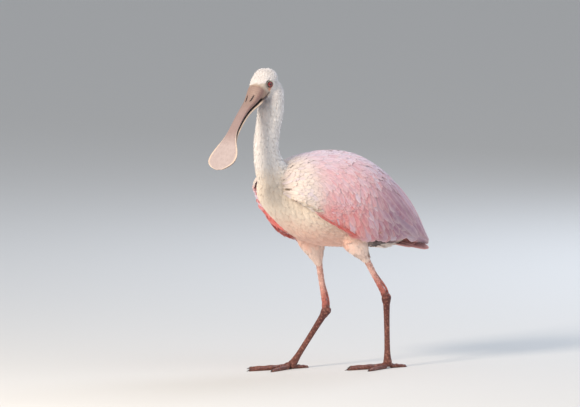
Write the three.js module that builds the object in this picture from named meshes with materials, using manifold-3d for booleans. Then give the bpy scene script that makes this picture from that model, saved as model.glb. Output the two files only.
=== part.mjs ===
// A life-size roseate spoonbill standing on the floor, its head turned to its left and its bill held low.
// Millimetres, +Z up. The bird faces -Y, and its left side is on +X. The origin is under the middle of its box.
import * as THREE from "three";
import { mergeVertices } from "three/addons/utils/BufferGeometryUtils.js";
import Module from "manifold-3d";

const wasm = await Module();
wasm.setup();

// Driving dimensions
const GAP = 0.3; // between pieces that touch
const VANE = 0.8; // thickness of a feather's vane
const RIM = 0.5; // thickness of a vane at its edge
const LAYER = 1.7; // how far each row of feathers lies above the row under it

// Colours and finishes
const finish = (color, roughness) =>
  new THREE.MeshStandardMaterial({ color, roughness, metalness: 0 });
const WHITE_PLUMAGE = finish(0xf1e6dc, 0.9);
const BREAST_PLUMAGE = finish(0xf3ddcc, 0.9);
const PINK_PLUMAGE = finish(0xe9a9ab, 0.85);
const BILL_HORN = finish(0xbfa298, 0.5);
const LEG_SKIN = finish(0xb8665c, 0.6);
const FOOT_SKIN = finish(0x54342c, 0.6);
const IRIS = finish(0x9c1f1c, 0.15);

const point = (x, y, z) => new THREE.Vector3(x, y, z);
const mix = THREE.MathUtils.lerp;
const ease = (t) => THREE.MathUtils.smoothstep(t, 0, 1);

// A smooth curve through rows of [t, value, value, ...], as a function of t that gives the values.
function track(rows) {
  const slope = (i, k) => {
    const a = rows[Math.max(i - 1, 0)];
    const b = rows[Math.min(i + 1, rows.length - 1)];
    return (b[k] - a[k]) / (b[0] - a[0]);
  };
  return (t) => {
    let i = 0;
    while (i < rows.length - 2 && t > rows[i + 1][0]) i++;
    const [a, b] = [rows[i], rows[i + 1]];
    const span = b[0] - a[0];
    const s = THREE.MathUtils.clamp((t - a[0]) / span, 0, 1);
    return a.slice(1).map((value, n) => {
      const k = n + 1;
      const rise = b[k] - value;
      const [m, p] = [slope(i, k) * span, slope(i + 1, k) * span];
      return value + s * (m + s * (3 * rise - 2 * m - p + s * (m + p - 2 * rise)));
    });
  };
}

// Solids

// A closed geometry as a solid, turned the right way out.
function solid(geometry) {
  const bare = geometry.index ? geometry.toNonIndexed() : geometry.clone();
  bare.deleteAttribute("normal");
  bare.deleteAttribute("uv");
  const merged = mergeVertices(bare, 1e-4);
  const make = (triVerts) =>
    new wasm.Manifold(
      new wasm.Mesh({
        numProp: 3,
        vertProperties: new Float32Array(merged.attributes.position.array),
        triVerts,
      }),
    );
  const faces = new Uint32Array(merged.index.array);
  const body = make(faces);
  if (body.volume() >= 0) return body;
  for (let i = 0; i < faces.length; i += 3)
    [faces[i + 1], faces[i + 2]] = [faces[i + 2], faces[i + 1]];
  return make(faces);
}

const fuse = (bodies) => wasm.Manifold.union(bodies);

// The largest closed surface of a body, which drops scraps and fills sealed hollows.
function largest(body) {
  const size = (part) => part.volume();
  return body.decompose().reduce((a, b) => (size(a) >= size(b) ? a : b));
}

function mesh(name, body, material) {
  const { vertProperties, triVerts, numProp, numVert } = largest(body).getMesh();
  const place = new Float32Array(numVert * 3);
  for (let i = 0; i < numVert; i++)
    place.set(vertProperties.subarray(i * numProp, i * numProp + 3), i * 3);
  const geometry = new THREE.BufferGeometry();
  geometry.setAttribute("position", new THREE.BufferAttribute(place, 3));
  geometry.setIndex(new THREE.BufferAttribute(triVerts, 1));
  geometry.computeVertexNormals();
  const made = new THREE.Mesh(geometry, material);
  made.name = name;
  return made;
}

// A closed tube of rings: place(t, angle, reach) gives a point, with reach 0 at the middle of the two end caps.
function loft(sides, steps, place) {
  const geometry = new THREE.CylinderGeometry(1, 1, 1, sides, steps);
  const spots = geometry.attributes.position;
  for (let i = 0; i < spots.count; i++) {
    const [x, y, z] = [spots.getX(i), spots.getY(i), spots.getZ(i)];
    const at = place(0.5 - y, Math.atan2(x, z), Math.min(1, Math.hypot(x, z)));
    spots.setXYZ(i, at.x, at.y, at.z);
  }
  return solid(geometry);
}

// A round limb along a path. path(t) gives [x, y, z, half width across, half depth], and t runs from 0 to 1.
// It is made larger all round by swell, as a cutter for what meets it.
function limb(path, sides, steps, swell = 0) {
  const spot = (t) => point(...path(t));
  return loft(sides, steps, (t, angle, reach) => {
    const [x, y, z, a, b] = path(t);
    const along = spot(Math.min(1, t + 0.01)).sub(spot(Math.max(0, t - 0.01))).normalize();
    const side = point(1, 0, 0).addScaledVector(along, -along.x).normalize();
    const front = along.clone().cross(side);
    return point(x, y, z)
      .addScaledVector(along, swell * ((t === 1) - (t === 0)))
      .addScaledVector(side, reach * (a + swell) * Math.sin(angle))
      .addScaledVector(front, reach * (b + swell) * Math.cos(angle));
  });
}

// A thin closed plate over a grid: place(u, v) gives { at, up, thick }, with u from -1 to 1 and v from 0 to 1.
// Both faces are split into the same triangles.
function plate(across, along, place) {
  const grid = new THREE.PlaneGeometry(2, 1, across, along);
  const flat = grid.attributes.position;
  const count = flat.count;
  const spots = [[], []];
  for (let i = 0; i < count; i++) {
    const { at, up, thick } = place(flat.getX(i), 0.5 - flat.getY(i));
    for (const face of [0, 1]) {
      const half = (face ? -thick : thick) / 2;
      spots[face].push(...at.clone().addScaledVector(up, half).toArray());
    }
  }
  const faces = [];
  const top = [...grid.index.array];
  for (let i = 0; i < top.length; i += 3) {
    const [a, b, c] = top.slice(i, i + 3);
    faces.push(a, b, c, a + count, c + count, b + count);
  }
  const rim = [];
  for (let i = 0; i < across; i++) rim.push(i);
  for (let j = 0; j < along; j++) rim.push(across + j * (across + 1));
  for (let i = across; i > 0; i--) rim.push(along * (across + 1) + i);
  for (let j = along; j > 0; j--) rim.push(j * (across + 1));
  rim.forEach((a, n) => {
    const b = rim[(n + 1) % rim.length];
    faces.push(a, b, b + count, a, b + count, a + count);
  });
  const geometry = new THREE.BufferGeometry();
  geometry.setAttribute(
    "position",
    new THREE.Float32BufferAttribute([...spots[0], ...spots[1]], 3),
  );
  geometry.setIndex(faces);
  return solid(geometry);
}

// Half a feather's outline, as a share of its half width: narrow at the quill, round at the tip.
const outline = (v, tip) =>
  v < 0.7 ? mix(0.5, 1, ease(v / 0.45)) : mix(tip, 1, Math.sqrt(Math.max(0, 1 - ((v - 0.7) / 0.3) ** 2)));

// A feather on a surface: on(s) gives the surface's point and normal under the feather's shaft, with s from 0 at the
// quill to 1 at the tip. It rises from sunk below the surface to lift above it, and leans to one side by tilt.
function vane({ on, half, lift, sunk = 4.5, tilt = 0, tip = 0.3, steps = 4, rise = 0.3 }) {
  const spacing = (v) => 1 - (1 - v) ** 1.35;
  return plate(2, steps, (u, v) => {
    const s = spacing(v);
    const { at, up } = on(s);
    const ahead = on(Math.min(1, s + 0.02)).at.sub(on(Math.max(0, s - 0.02)).at);
    const side = ahead.cross(up).normalize();
    const reach = u * half * outline(s, tip);
    const height = mix(-sunk, lift, ease(s / rise)) + tilt * reach - 0.35 * u * u;
    return {
      at: at.clone().addScaledVector(side, reach).addScaledVector(up, height),
      up,
      thick: mix(VANE, RIM, Math.max(Math.abs(u), v > 0.99 ? 1 : 0)),
    };
  });
}

// Torso: sections across the body at stations from the breast to the rump.
// Each row is [place along Y, top, bottom, half width].
const TORSO = track([
  [-130, 298, 286, 7],
  [-124, 314, 271, 26],
  [-110, 326, 253, 42],
  [-90, 336, 235, 54],
  [-65, 343, 215, 63],
  [-35, 346, 202, 67],
  [0, 344, 196, 67],
  [35, 336, 194, 63],
  [65, 322, 192, 55],
  [95, 300, 191, 44],
  [118, 276, 194, 32],
  [136, 250, 201, 19],
  [146, 228, 210, 7],
]);
const TORSO_ENDS = [-130, 146];

const torsoSolid = (swell) =>
  loft(26, 14, (t, angle, reach) => {
    const y = mix(...TORSO_ENDS, t);
    const [top, bottom, half] = TORSO(y);
    const grown = reach ? swell : 0;
    const end = (t === 0 ? -swell : 0) + (t === 1 ? swell : 0);
    return point(
      (reach * half + grown) * Math.sin(angle),
      y + end,
      (top + bottom) / 2 + ((reach * (top - bottom)) / 2 + grown) * Math.cos(angle),
    );
  });

// Neck: from inside the breast up into the back of the head.
// Each row is [share of the way, x, y, z, half width across, half depth].
const NECK = track([
  [0, 0, -60, 284, 46, 42],
  [0.12, 0, -84, 296, 44, 38],
  [0.25, 0, -104, 312, 34, 29],
  [0.36, 0, -116.5, 334, 25, 24],
  [0.5, 0, -122, 364, 20.5, 21],
  [0.66, 1.5, -118.5, 395, 20.5, 21],
  [0.82, 3, -115, 422, 21, 22.5],
  [0.9, 4, -115.5, 438, 21, 22.5],
  [0.95, 6, -116, 453, 19.5, 21],
  [0.98, 8, -119, 464, 14, 15.5],
  [1, 9, -122, 470, 7, 8],
]);
const neckSolid = (swell) => limb(NECK, 18, 16, swell);
const NAPE = 424; // height of the cut between the neck and the head

// Head frame: the origin is on top of the bill between the nostrils, +Y runs along the bill and +Z out of its top.
const HEAD_AT = point(25.6, -170.2, 442.8);
const HEAD_TURN = 27.9; // degrees to the bird's left
const HEAD_DROP = 45.3; // degrees below the horizontal
const HEAD_ROLL = 7.1; // degrees, with the left side up
const rad = THREE.MathUtils.degToRad;
const headMatrix = new THREE.Matrix4()
  .makeTranslation(HEAD_AT)
  .multiply(new THREE.Matrix4().makeRotationZ(rad(HEAD_TURN) + Math.PI))
  .multiply(new THREE.Matrix4().makeRotationX(-rad(HEAD_DROP)))
  .multiply(new THREE.Matrix4().makeRotationY(rad(HEAD_ROLL)));
// A point of the head: left of its middle, ahead along the bill, up out of the bill's top.
const inHead = (left, ahead, up) => point(-left, ahead, up).applyMatrix4(headMatrix);

// Skull: each row is [along the bill, half width, crown, throat].
const SKULL = track([
  [-72, 4, -10, -18],
  [-69, 10, -3, -25],
  [-62, 16, 2.5, -30],
  [-50, 19.2, 5, -34],
  [-40, 19, 4.6, -34],
  [-30, 16.6, 4.4, -31],
  [-22, 15, 4.6, -27.5],
  [-13, 13.4, 3.2, -22.5],
]);
const skullSolid = () =>
  loft(18, 11, (t, angle, reach) => {
    const along = mix(-72, -13, t);
    const [half, crown, throat] = SKULL(along);
    return inHead(
      reach * half * Math.sin(angle),
      along,
      (crown + throat) / 2 + (reach * (crown - throat) * Math.cos(angle)) / 2,
    );
  });

// Eyes: the ball's middle [left, ahead, up] and its radius, with lids round its opening.
const EYE = [11.7, -38, -11];
const EYE_RADIUS = 7.6;
const LID_RADIUS = 5.7;
const LID = 1.3;

function inHeadSolid(geometry, [left, ahead, up]) {
  const spot = new THREE.Matrix4().makeTranslation(-left, ahead, up);
  return solid(geometry.clone().applyMatrix4(headMatrix.clone().multiply(spot)));
}
const eyeball = (side, radius) =>
  inHeadSolid(new THREE.IcosahedronGeometry(radius, 2), [side * EYE[0], EYE[1], EYE[2]]);
function lids(side) {
  const ring = new THREE.TorusGeometry(LID_RADIUS, LID, 4, 12).rotateY(Math.PI / 2).scale(1, 1.12, 0.92);
  return inHeadSolid(ring, [side * 17.4, EYE[1], EYE[2]]);
}
function orbit(side) {
  const dish = new THREE.SphereGeometry(8.6, 8, 4).scale(0.36, 1.15, 1);
  return inHeadSolid(dish, [side * 20.6, EYE[1], EYE[2]]);
}

// Bill: half widths, and the height of the culmen and of the mouth line, along the bill from the face to the tip.
// Each row is [along the bill, half width, culmen, mouth line].
const BILL = track([
  [-30, 14.5, 3.0, -20],
  [-22, 14, 4.0, -18.5],
  [0, 11.5, 1.0, -12],
  [20, 9.0, 3.6, -5.5],
  [40, 8.4, 5.2, -1],
  [60, 8.6, 5.6, 1.0],
  [75, 9.6, 5.2, 1.6],
  [90, 14, 4.2, 1.0],
  [100, 18.7, 3.2, 0.4],
  [110, 23.4, 2.0, -0.6],
  [120, 26.4, 0.8, -1.6],
  [130, 25.5, -0.4, -2.8],
  [137, 20, -1.4, -3.6],
  [142, 12, -2.2, -4.2],
  [145, 4, -3.2, -4.6],
]);
// How deep the lower half is. Each row is [along the bill, depth].
const CHIN = track([
  [-24, 7],
  [0, 5.5],
  [30, 4],
  [60, 3],
  [90, 2.4],
  [120, 2.2],
  [145, 1.6],
]);
const BILL_ROOT = -23;
// The two halves part a little in the middle of the bill.
const MOUTH_GAP = 1.6;
const gape = (along) => GAP + MOUTH_GAP * Math.max(0, Math.sin((Math.PI * (along + 23)) / 166)) ** 0.8;

// Half of the bill, upper or lower. It is domed on its outer side and flatter on the side of the mouth.
function billHalf(upper, end, swell = 0) {
  return loft(14, swell ? 3 : 18, (t, angle, reach) => {
    const along = mix(BILL_ROOT - swell, end, t);
    const [half, culmen, mouth] = BILL(along);
    const cosine = Math.cos(angle);
    const domed = Math.sign(cosine) * Math.abs(cosine) ** (cosine > 0 === upper ? 0.85 : 0.5);
    const [low, high] = upper
      ? [mouth + gape(along) / 2, culmen]
      : [mouth - gape(along) / 2 - CHIN(along)[0], mouth - gape(along) / 2];
    const width = half * (upper ? 1 : 0.94) + 1.5 * swell;
    const height = mix(low - 1.5 * swell, high + 1.5 * swell, (reach * domed + 1) / 2);
    return inHead(reach * width * Math.sin(angle), along, height);
  });
}
function nostril(side) {
  const slit = new THREE.SphereGeometry(1, 8, 4).scale(1.1, 5.6, 4);
  return inHeadSolid(slit, [side * 5.5, -1.5, 1.5]);
}
function mouthCorner(side) {
  const slit = new THREE.SphereGeometry(1, 8, 4).scale(3.5, 9, 0.7).rotateX(0.35);
  return inHeadSolid(slit, [side * 14.6, -21, -19.2]);
}
function headSolid() {
  const nape = neckSolid(0).trimByPlane([0, 0, 1], NAPE + GAP);
  const skull = skullSolid().add(nape);
  const face = fuse([skull.subtract(orbit(1)).subtract(orbit(-1)), lids(1), lids(-1)]);
  return [1, -1].reduce(
    (body, side) => body.subtract(eyeball(side, EYE_RADIUS + GAP)).subtract(mouthCorner(side)),
    face.subtract(billHalf(true, 0, GAP)).subtract(billHalf(false, 0, GAP)),
  );
}

// Wing: a folded shell round the body. Each row of its form is
// [place along Y, half width, ridge, widest level, lower edge of the left wing, lower edge of the right wing].
const WING = track([
  [-116, 46, 314, 292, 285, 288],
  [-108, 62, 323, 290, 278, 284],
  [-95, 71, 332, 286, 270, 260],
  [-75, 75, 340, 282, 259, 232],
  [-50, 77, 346, 278, 244, 210],
  [-20, 78, 349, 275, 229, 199],
  [10, 78, 348, 272, 216, 199],
  [40, 75, 342, 266, 211, 203],
  [70, 68, 328, 258, 210, 208],
  [100, 57, 307, 246, 210, 209],
  [125, 45, 285, 236, 213, 212],
  [145, 34, 263, 228, 212, 211],
  [165, 22, 237, 217, 208, 207],
  [180, 12, 213, 206, 201, 201],
  [188, 8, 200, 197, 194, 194],
]);
const TUCK = 8; // how far the lower edge curls in

// A point of the wing's form, from the ridge at v = 0 to the lower edge at v = 1, and its outward normal.
function wingAt(side, y, v) {
  const spot = (yy, vv) => {
    const [half, ridge, widest, ...edges] = WING(yy);
    const edge = edges[side > 0 ? 0 : 1];
    const upper = Math.min(vv, 0.5) * Math.PI;
    const drop = Math.max(0, vv - 0.5) * 2;
    return point(
      side * (half * Math.sin(upper) - TUCK * drop * drop),
      yy,
      widest + (ridge - widest) * Math.cos(upper) - drop * (widest - edge),
    );
  };
  const at = spot(y, v);
  const up = spot(y + 1, v)
    .sub(spot(y - 1, v))
    .cross(spot(y, v + 0.01).sub(spot(y, v - 0.01)))
    .multiplyScalar(-side)
    .normalize();
  return { at, up };
}

function wingCore(side) {
  return plate(6, 11, (u, v) => {
    const y = mix(-112, 150, v);
    const spread = (u + 1) / 2;
    const { at, up } = wingAt(side, y, mix(0.06, 0.93, spread));
    const deep = mix(12, 3, ease((y - 40) / 110)) * mix(0.35, 1, ease((y + 112) / 24));
    return { at: at.addScaledVector(up, -2 - deep / 2), up, thick: deep };
  });
}

// A row of feathers along the wing: the quills and the tips each run between two places [along Y, v].
function tier(side, { count, quills, tips, half, level, tip, steps }) {
  const row = [];
  const spread = Math.abs(tips[1][0] - tips[0][0]) / Math.max(1, count - 1);
  for (let i = 0; i < count; i++) {
    const share = count > 1 ? i / (count - 1) : 0.5;
    const from = quills[0].map((a, k) => mix(a, quills[1][k], share));
    const to = tips[0].map((a, k) => mix(a, tips[1][k], share));
    row.push(
      vane({
        on: (s) => wingAt(side, mix(from[0], to[0], s), mix(from[1], to[1], s)),
        half: half * (1 + 0.08 * Math.sin(7.3 * i + level)),
        lift: 0.4 + LAYER * level,
        tilt: (-side * (VANE + GAP)) / Math.max(spread, 8),
        tip,
        steps,
      }),
    );
  }
  return row;
}

const WING_TIERS = [
  { count: 3, quills: [[84, 0.86], [104, 0.8]], tips: [[156, 0.97], [178, 0.99]], half: 8, level: -0.7, steps: 3 },
  { count: 8, quills: [[-28, 0.72], [92, 0.64]], tips: [[8, 1.03], [160, 1.02]], half: 12.5, level: 0, steps: 2 },
  { count: 7, quills: [[-62, 0.56], [78, 0.48]], tips: [[-42, 0.93], [140, 0.86]], half: 14.5, level: 1, steps: 3 },
  { count: 6, quills: [[-72, 0.4], [60, 0.32]], tips: [[-52, 0.68], [108, 0.62]], half: 15.5, level: 2, steps: 3 },
  { count: 3, quills: [[68, 0.22], [82, 0.1]], tips: [[168, 0.6], [188, 0.2]], half: 11, level: 3, steps: 4 },
];

function wing(side) {
  const feathers = WING_TIERS.flatMap((row) => tier(side, row));
  return fuse([wingCore(side), ...feathers]).subtract(torsoSolid(GAP)).subtract(neckSolid(GAP));
}

// Tail: a short, closed fan of feathers on a base of coverts behind the rump.
const TAIL_FEATHERS = 8;
const TAIL_BASE = track([
  [0, 0, 122, 222, 22, 16],
  [0.5, 0, 142, 209, 17, 9],
  [1, 0, 160, 199.5, 12, 2.5],
]);
function tailSolid() {
  const row = [];
  for (let i = 0; i < TAIL_FEATHERS; i++) {
    const share = (2 * i) / (TAIL_FEATHERS - 1) - 1;
    const out = Math.abs(share);
    const root = point(share * 9, 128, 214 - 3 * out);
    const end = point(share * 19, 185 - 9 * out * out, 189 - 2.2 * out);
    const up = point(share * 0.22, 0.38, 1).normalize();
    row.push(
      vane({
        on: (s) => ({ at: root.clone().lerp(end, s).add(point(0, 0, 3 * Math.sin(Math.PI * s))), up }),
        half: 8,
        lift: 1.2 * (1 - out),
        sunk: 0,
        tilt: share > 0 ? -0.1 : 0.1,
        steps: 2,
      }),
    );
  }
  return fuse([limb(TAIL_BASE, 12, 4), ...row]).subtract(torsoSolid(GAP));
}

// Legs: each row is [share of the way, x, y, z, half width across, half depth]. The feathered thigh is a cone.
const LEGS = {
  left: {
    x: 37,
    thigh: [[0, 12, 236, 21, 24], [0.3, 22, 213, 22, 23], [0.55, 30, 198, 18, 18], [0.8, 40.5, 183, 11, 10.5], [1, 48.4, 171.6, 6, 6]],
    hock: [83.7, 112.3],
    foot: [86, 0],
  },
  right: {
    x: -37,
    thigh: [[0, -20, 236, 21, 26], [0.3, -15, 213, 22, 26], [0.55, -9, 197, 18, 21], [0.8, -2, 178, 11, 12], [1, 4, 162, 6, 6]],
    hock: [16.4, 89.3],
    foot: [-53, 0],
  },
};
const TIBIA = [4.6, 5]; // half width across, half depth
const HOCK = 7.4; // radius of the ankle joint
const TARSUS = [3.9, 4.6]; // half width across, half depth
const ANKLE = 15; // height of the tarsus's end above the floor
// Toes: [name, length, angle from straight ahead towards the bird's outer side in degrees]
const TOES = [
  ["middle", 82, 0],
  ["outer", 69, 29],
  ["inner", 65, -29],
  ["hind", 37, 180],
];

const ball = (radius, at) => solid(new THREE.IcosahedronGeometry(radius, 1).translate(...at.toArray()));

function leg(name) {
  const side = name === "left" ? 1 : -1;
  const { x, thigh, hock, foot } = LEGS[name];
  const cone = track(thigh.map(([t, y, z, a, b]) => [t, x - side * 4 * (1 - t), y, z, a, b]));
  const top = point(...cone(1));
  const joint = point(x, ...hock);
  const sole = point(x, ...foot);
  const along = joint.clone().sub(top).normalize();
  const down = sole.clone().sub(joint).normalize();
  // The bare part of the tibia, with the tendon's cord standing clear behind it above the ankle.
  const start = top.clone().addScaledVector(along, -1);
  const span = (a, b, rows) => {
    const shape = track(rows);
    return (t) => [...a.clone().lerp(b, t).toArray(), ...shape(t)];
  };
  const bone = limb(
    span(start, joint, [[0, 4.8, 5.4], [0.3, 4.4, 5], [0.8, 4.2, 4.6], [1, 5, 5.6]]),
    10,
    4,
  );
  const behind = point(0, 1, 0).addScaledVector(along, -along.y).normalize();
  const cord = (t) => {
    const at = start.clone().lerp(joint, mix(0.14, 0.98, t));
    at.addScaledVector(behind, mix(3.2, 8.4, ease(t / 0.75)) - 2.6 * ease((t - 0.8) / 0.2));
    return [...at.toArray(), 1.6, 1.7];
  };
  const knob = (grown) => ball(HOCK + grown, joint);
  const shank = fuse([bone, limb(cord, 6, 6)]).subtract(knob(GAP)).subtract(limb(cone, 16, 6, GAP));
  // The tarsus, with the ankle's knob above and the foot's hub below.
  const ankle = sole.clone().addScaledVector(down, -ANKLE);
  const shaft = span(joint, ankle, [
    [0, 6.6, 7.2],
    [0.12, 4.6, 5.6],
    [0.5, ...TARSUS],
    [0.85, 4.2, 4.8],
    [1, 5.6, 6],
  ]);
  const hub = span(ankle, point(x, foot[0], 2.5), [[0, 5.6, 6], [0.5, 6.8, 7], [1, 5.5, 5.5]]);
  const tarsus = fuse([knob(0), limb(shaft, 10, 6), limb(hub, 10, 3)]).trimByPlane([0, 0, 1], 0);
  const hubRoom = fuse([limb(shaft, 10, 6, GAP), limb(hub, 10, 3, GAP)]);
  const parts = [
    ["thigh_" + name, limb(cone, 16, 6).subtract(torsoSolid(GAP)), BREAST_PLUMAGE],
    ["tibia_" + name, shank, LEG_SKIN],
    ["tarsus_" + name, tarsus, FOOT_SKIN],
  ];
  for (const [toe, length, angle] of TOES) {
    const turn = rad(angle) * side;
    const ahead = point(Math.sin(turn), -Math.cos(turn), 0);
    const row = (t) => {
      const reach = mix(3, length, t);
      const knuckle = 0.55 * Math.sin(Math.PI * 3 * t) ** 2;
      const thick = mix(3.9, 1.9, t) + knuckle * (1 - t);
      const claw = ease((t - 0.86) / 0.14);
      const at = sole.clone().addScaledVector(ahead, reach);
      const rise = mix(3.6, 0, ease(t / 0.12)) + thick * 0.86 - 0.3 * claw;
      return [at.x, at.y, rise, mix(thick * 1.12, 0.7, claw), mix(thick, 0.8, claw)];
    };
    const shape = loft(8, 8, (t, a, reach) => {
      const [px, py, pz, wide, deep] = row(t);
      const across = ahead.clone().cross(point(0, 0, 1));
      return point(px, py, pz).addScaledVector(across, reach * wide * Math.sin(a)).add(point(0, 0, reach * deep * Math.cos(a)));
    });
    // The front toes part from one another half way between their directions.
    const clear = [-1, 1].reduce((body, way) => {
      if (angle === 180 || angle * way > 0) return body;
      const middle = turn + (side * way * rad(29)) / 2;
      const out = point(-Math.cos(middle) * side * way, -Math.sin(middle) * side * way, 0);
      return body.trimByPlane(out.toArray(), out.dot(sole) + GAP / 2);
    }, shape);
    parts.push(["toe_" + toe + "_" + name, clear.subtract(hubRoom).trimByPlane([0, 0, 1], 0), FOOT_SKIN]);
  }
  return parts;
}

const bird = new THREE.Group();
const add = (name, body, material) => bird.add(mesh(name, body, material));
const head = headSolid();
add("torso", torsoSolid(0), BREAST_PLUMAGE);
const neck = neckSolid(0).subtract(torsoSolid(GAP));
add("neck", neck.trimByPlane([0, 0, -1], -NAPE), WHITE_PLUMAGE);
add("head", head, WHITE_PLUMAGE);
add("bill_upper", billHalf(true, 145).subtract(nostril(1)).subtract(nostril(-1)), BILL_HORN);
add("bill_lower", billHalf(false, 143), BILL_HORN);
add("tail", tailSolid(), PINK_PLUMAGE);
for (const [name, side] of [["left", 1], ["right", -1]]) {
  add("eye_" + name, eyeball(side, EYE_RADIUS), IRIS);
  add("wing_" + name, wing(side), PINK_PLUMAGE);
  for (const piece of leg(name)) add(...piece);
}

// The origin is on the floor, under the middle of the bird's box.
const box = new THREE.Box3().setFromObject(bird);
const middle = box.getCenter(point(0, 0, 0));
bird.position.set(-middle.x, -middle.y, -box.min.z);

export default bird;
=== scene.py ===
import logging
import math
from collections.abc import Callable, Sequence
from dataclasses import dataclass, field
from enum import Enum

import bpy
import numpy as np
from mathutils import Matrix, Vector
from mathutils.bvhtree import BVHTree


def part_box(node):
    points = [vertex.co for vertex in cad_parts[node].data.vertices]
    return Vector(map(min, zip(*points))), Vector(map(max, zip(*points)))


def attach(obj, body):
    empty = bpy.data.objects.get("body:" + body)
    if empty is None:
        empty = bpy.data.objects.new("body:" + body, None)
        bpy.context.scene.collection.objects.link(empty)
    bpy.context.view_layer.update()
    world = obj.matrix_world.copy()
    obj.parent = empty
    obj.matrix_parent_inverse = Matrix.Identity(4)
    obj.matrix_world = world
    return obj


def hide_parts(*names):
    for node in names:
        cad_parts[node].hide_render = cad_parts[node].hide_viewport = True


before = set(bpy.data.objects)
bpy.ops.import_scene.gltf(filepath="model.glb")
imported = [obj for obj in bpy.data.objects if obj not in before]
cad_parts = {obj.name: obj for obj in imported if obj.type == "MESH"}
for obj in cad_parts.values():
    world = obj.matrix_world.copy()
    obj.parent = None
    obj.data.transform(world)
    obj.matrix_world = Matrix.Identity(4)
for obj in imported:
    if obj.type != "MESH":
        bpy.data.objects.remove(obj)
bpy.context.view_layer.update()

logging.basicConfig(level=logging.INFO, format="%(name)s: %(message)s")
LOG = logging.getLogger("spoonbill")

MM = 0.001
RNG_SEED = 20733
Array = np.ndarray
Material, Object = bpy.types.Material, bpy.types.Object
Tree, Node, Socket = bpy.types.NodeTree, bpy.types.Node, bpy.types.NodeSocket
Rgba = tuple[float, float, float, float]


# Small numeric tools


def smooth(low: float, high: float, value: Array | float) -> Array:
    """Ease from 0 at low to 1 at high.

    Args:
        low: Where the ease starts.
        high: Where it ends; it may lie below low.
        value: The places to look at.

    Returns:
        The eased share, from 0 to 1.
    """
    t = np.clip((np.asarray(value, float) - low) / (high - low), 0.0, 1.0)
    return t * t * (3 - 2 * t)


def blend(a: Array, b: Array, share: Array) -> Array:
    """Mix two values, or two colours where share lacks the last axis.

    Args:
        a: Value at share 0.
        b: Value at share 1.
        share: The share of b.

    Returns:
        The mixed values.
    """
    a, b, share = np.asarray(a, float), np.asarray(b, float), np.asarray(share, float)
    if max(a.ndim, b.ndim) and (a.shape[-1:] == (3,) or b.shape[-1:] == (3,)):
        share = share[..., None]
    return a + (b - a) * share


def unit(vectors: Array) -> Array:
    """Scale vectors along the last axis to length 1."""
    return vectors / np.maximum(np.linalg.norm(vectors, axis=-1, keepdims=True), 1e-12)


def circle(count: int) -> Array:
    """Angles spaced evenly round a full turn."""
    return np.linspace(0, 2 * math.pi, count, endpoint=False)


class Track:
    """A smooth curve through rows of [t, value, value, ...]."""

    def __init__(self, rows: Sequence[Sequence[float]]) -> None:
        """Keep the rows and work out the slope at each.

        Args:
            rows: One row for each station, in order of t.
        """
        table = np.array(rows, float)
        self.t, self.values = table[:, 0], table[:, 1:]
        before = np.maximum(np.arange(len(table)) - 1, 0)
        after = np.minimum(np.arange(len(table)) + 1, len(table) - 1)
        rise = self.values[after] - self.values[before]
        self.slopes = rise / (self.t[after] - self.t[before])[:, None]

    def __call__(self, t: Array | float) -> Array:
        """Values at t.

        Args:
            t: Places along the curve, any shape.

        Returns:
            The values, with one more axis than t.
        """
        t = np.asarray(t, float)
        i = np.clip(np.searchsorted(self.t, t, side="right") - 1, 0, len(self.t) - 2)
        span = (self.t[i + 1] - self.t[i])[..., None]
        s = np.clip((t[..., None] - self.t[i][..., None]) / span, 0, 1)
        a, b = self.values[i], self.values[i + 1]
        m, p = self.slopes[i] * span, self.slopes[i + 1] * span
        rise = b - a
        return a + s * (m + s * (3 * rise - 2 * m - p + s * (m + p - 2 * rise)))


def ripple(points: Array, scale: float, seed: int, octaves: int = 3) -> Array:
    """Smooth, repeatable unevenness in space.

    Args:
        points: Places in millimetres.
        scale: Size of the largest waves in millimetres.
        seed: Which pattern.
        octaves: How many finer layers are added.

    Returns:
        Values of about -1 to 1.
    """
    rng = np.random.default_rng(seed)
    total = np.zeros(points.shape[:-1])
    weight = 0.0
    for octave in range(octaves):
        size = scale / 1.9**octave
        for _ in range(4):
            direction = unit(rng.normal(size=3))
            pace, start = rng.uniform(0.7, 1.3), rng.uniform(0, 6.3)
            total += np.sin(points @ direction * (2 * math.pi / size) * pace + start) / 1.6**octave
        weight += 2.0 / 1.6**octave
    return total / weight


# The bird's own frame, in millimetres: it faces -Y, its left is +X, and the floor is at z = 0

HEAD_ORIGIN = np.array([25.6, -170.2, 442.8])
HEAD_TURN, HEAD_DROP, HEAD_ROLL = 27.9, 45.3, 7.1


def turn(axis: int, degrees: float) -> Array:
    """Rotation matrix about one axis.

    Args:
        axis: 0, 1 or 2 for X, Y or Z.
        degrees: How far, by the right-hand rule.

    Returns:
        A 3 by 3 matrix.
    """
    c, s = math.cos(math.radians(degrees)), math.sin(math.radians(degrees))
    i, j = (axis + 1) % 3, (axis + 2) % 3
    matrix = np.eye(3)
    matrix[i, i] = matrix[j, j] = c
    matrix[i, j], matrix[j, i] = -s, s
    return matrix


HEAD_AXES = turn(2, HEAD_TURN + 180) @ turn(0, -HEAD_DROP) @ turn(1, HEAD_ROLL)


def from_head(left: Array, ahead: Array, up: Array) -> Array:
    """Places given in the head's frame, in the bird's frame.

    Args:
        left: Towards the bird's left side.
        ahead: Along the bill.
        up: Out of the bill's top.

    Returns:
        Points in the bird's frame.
    """
    local = np.stack(np.broadcast_arrays(-np.asarray(left, float), ahead, up), -1)
    return local @ HEAD_AXES.T + HEAD_ORIGIN


def to_head(points: Array) -> Array:
    """Points of the bird's frame as [left, ahead, up] in the head's frame."""
    return ((points - HEAD_ORIGIN) @ HEAD_AXES) * np.array([-1.0, 1.0, 1.0])


EYE = (11.7, -38.0, -11.0)
LID_AHEAD, LID_UP, LID_STRETCH = -38.6, -10.8, 1.05
FACE_FROM, FACE_TO = 8, 12


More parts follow.
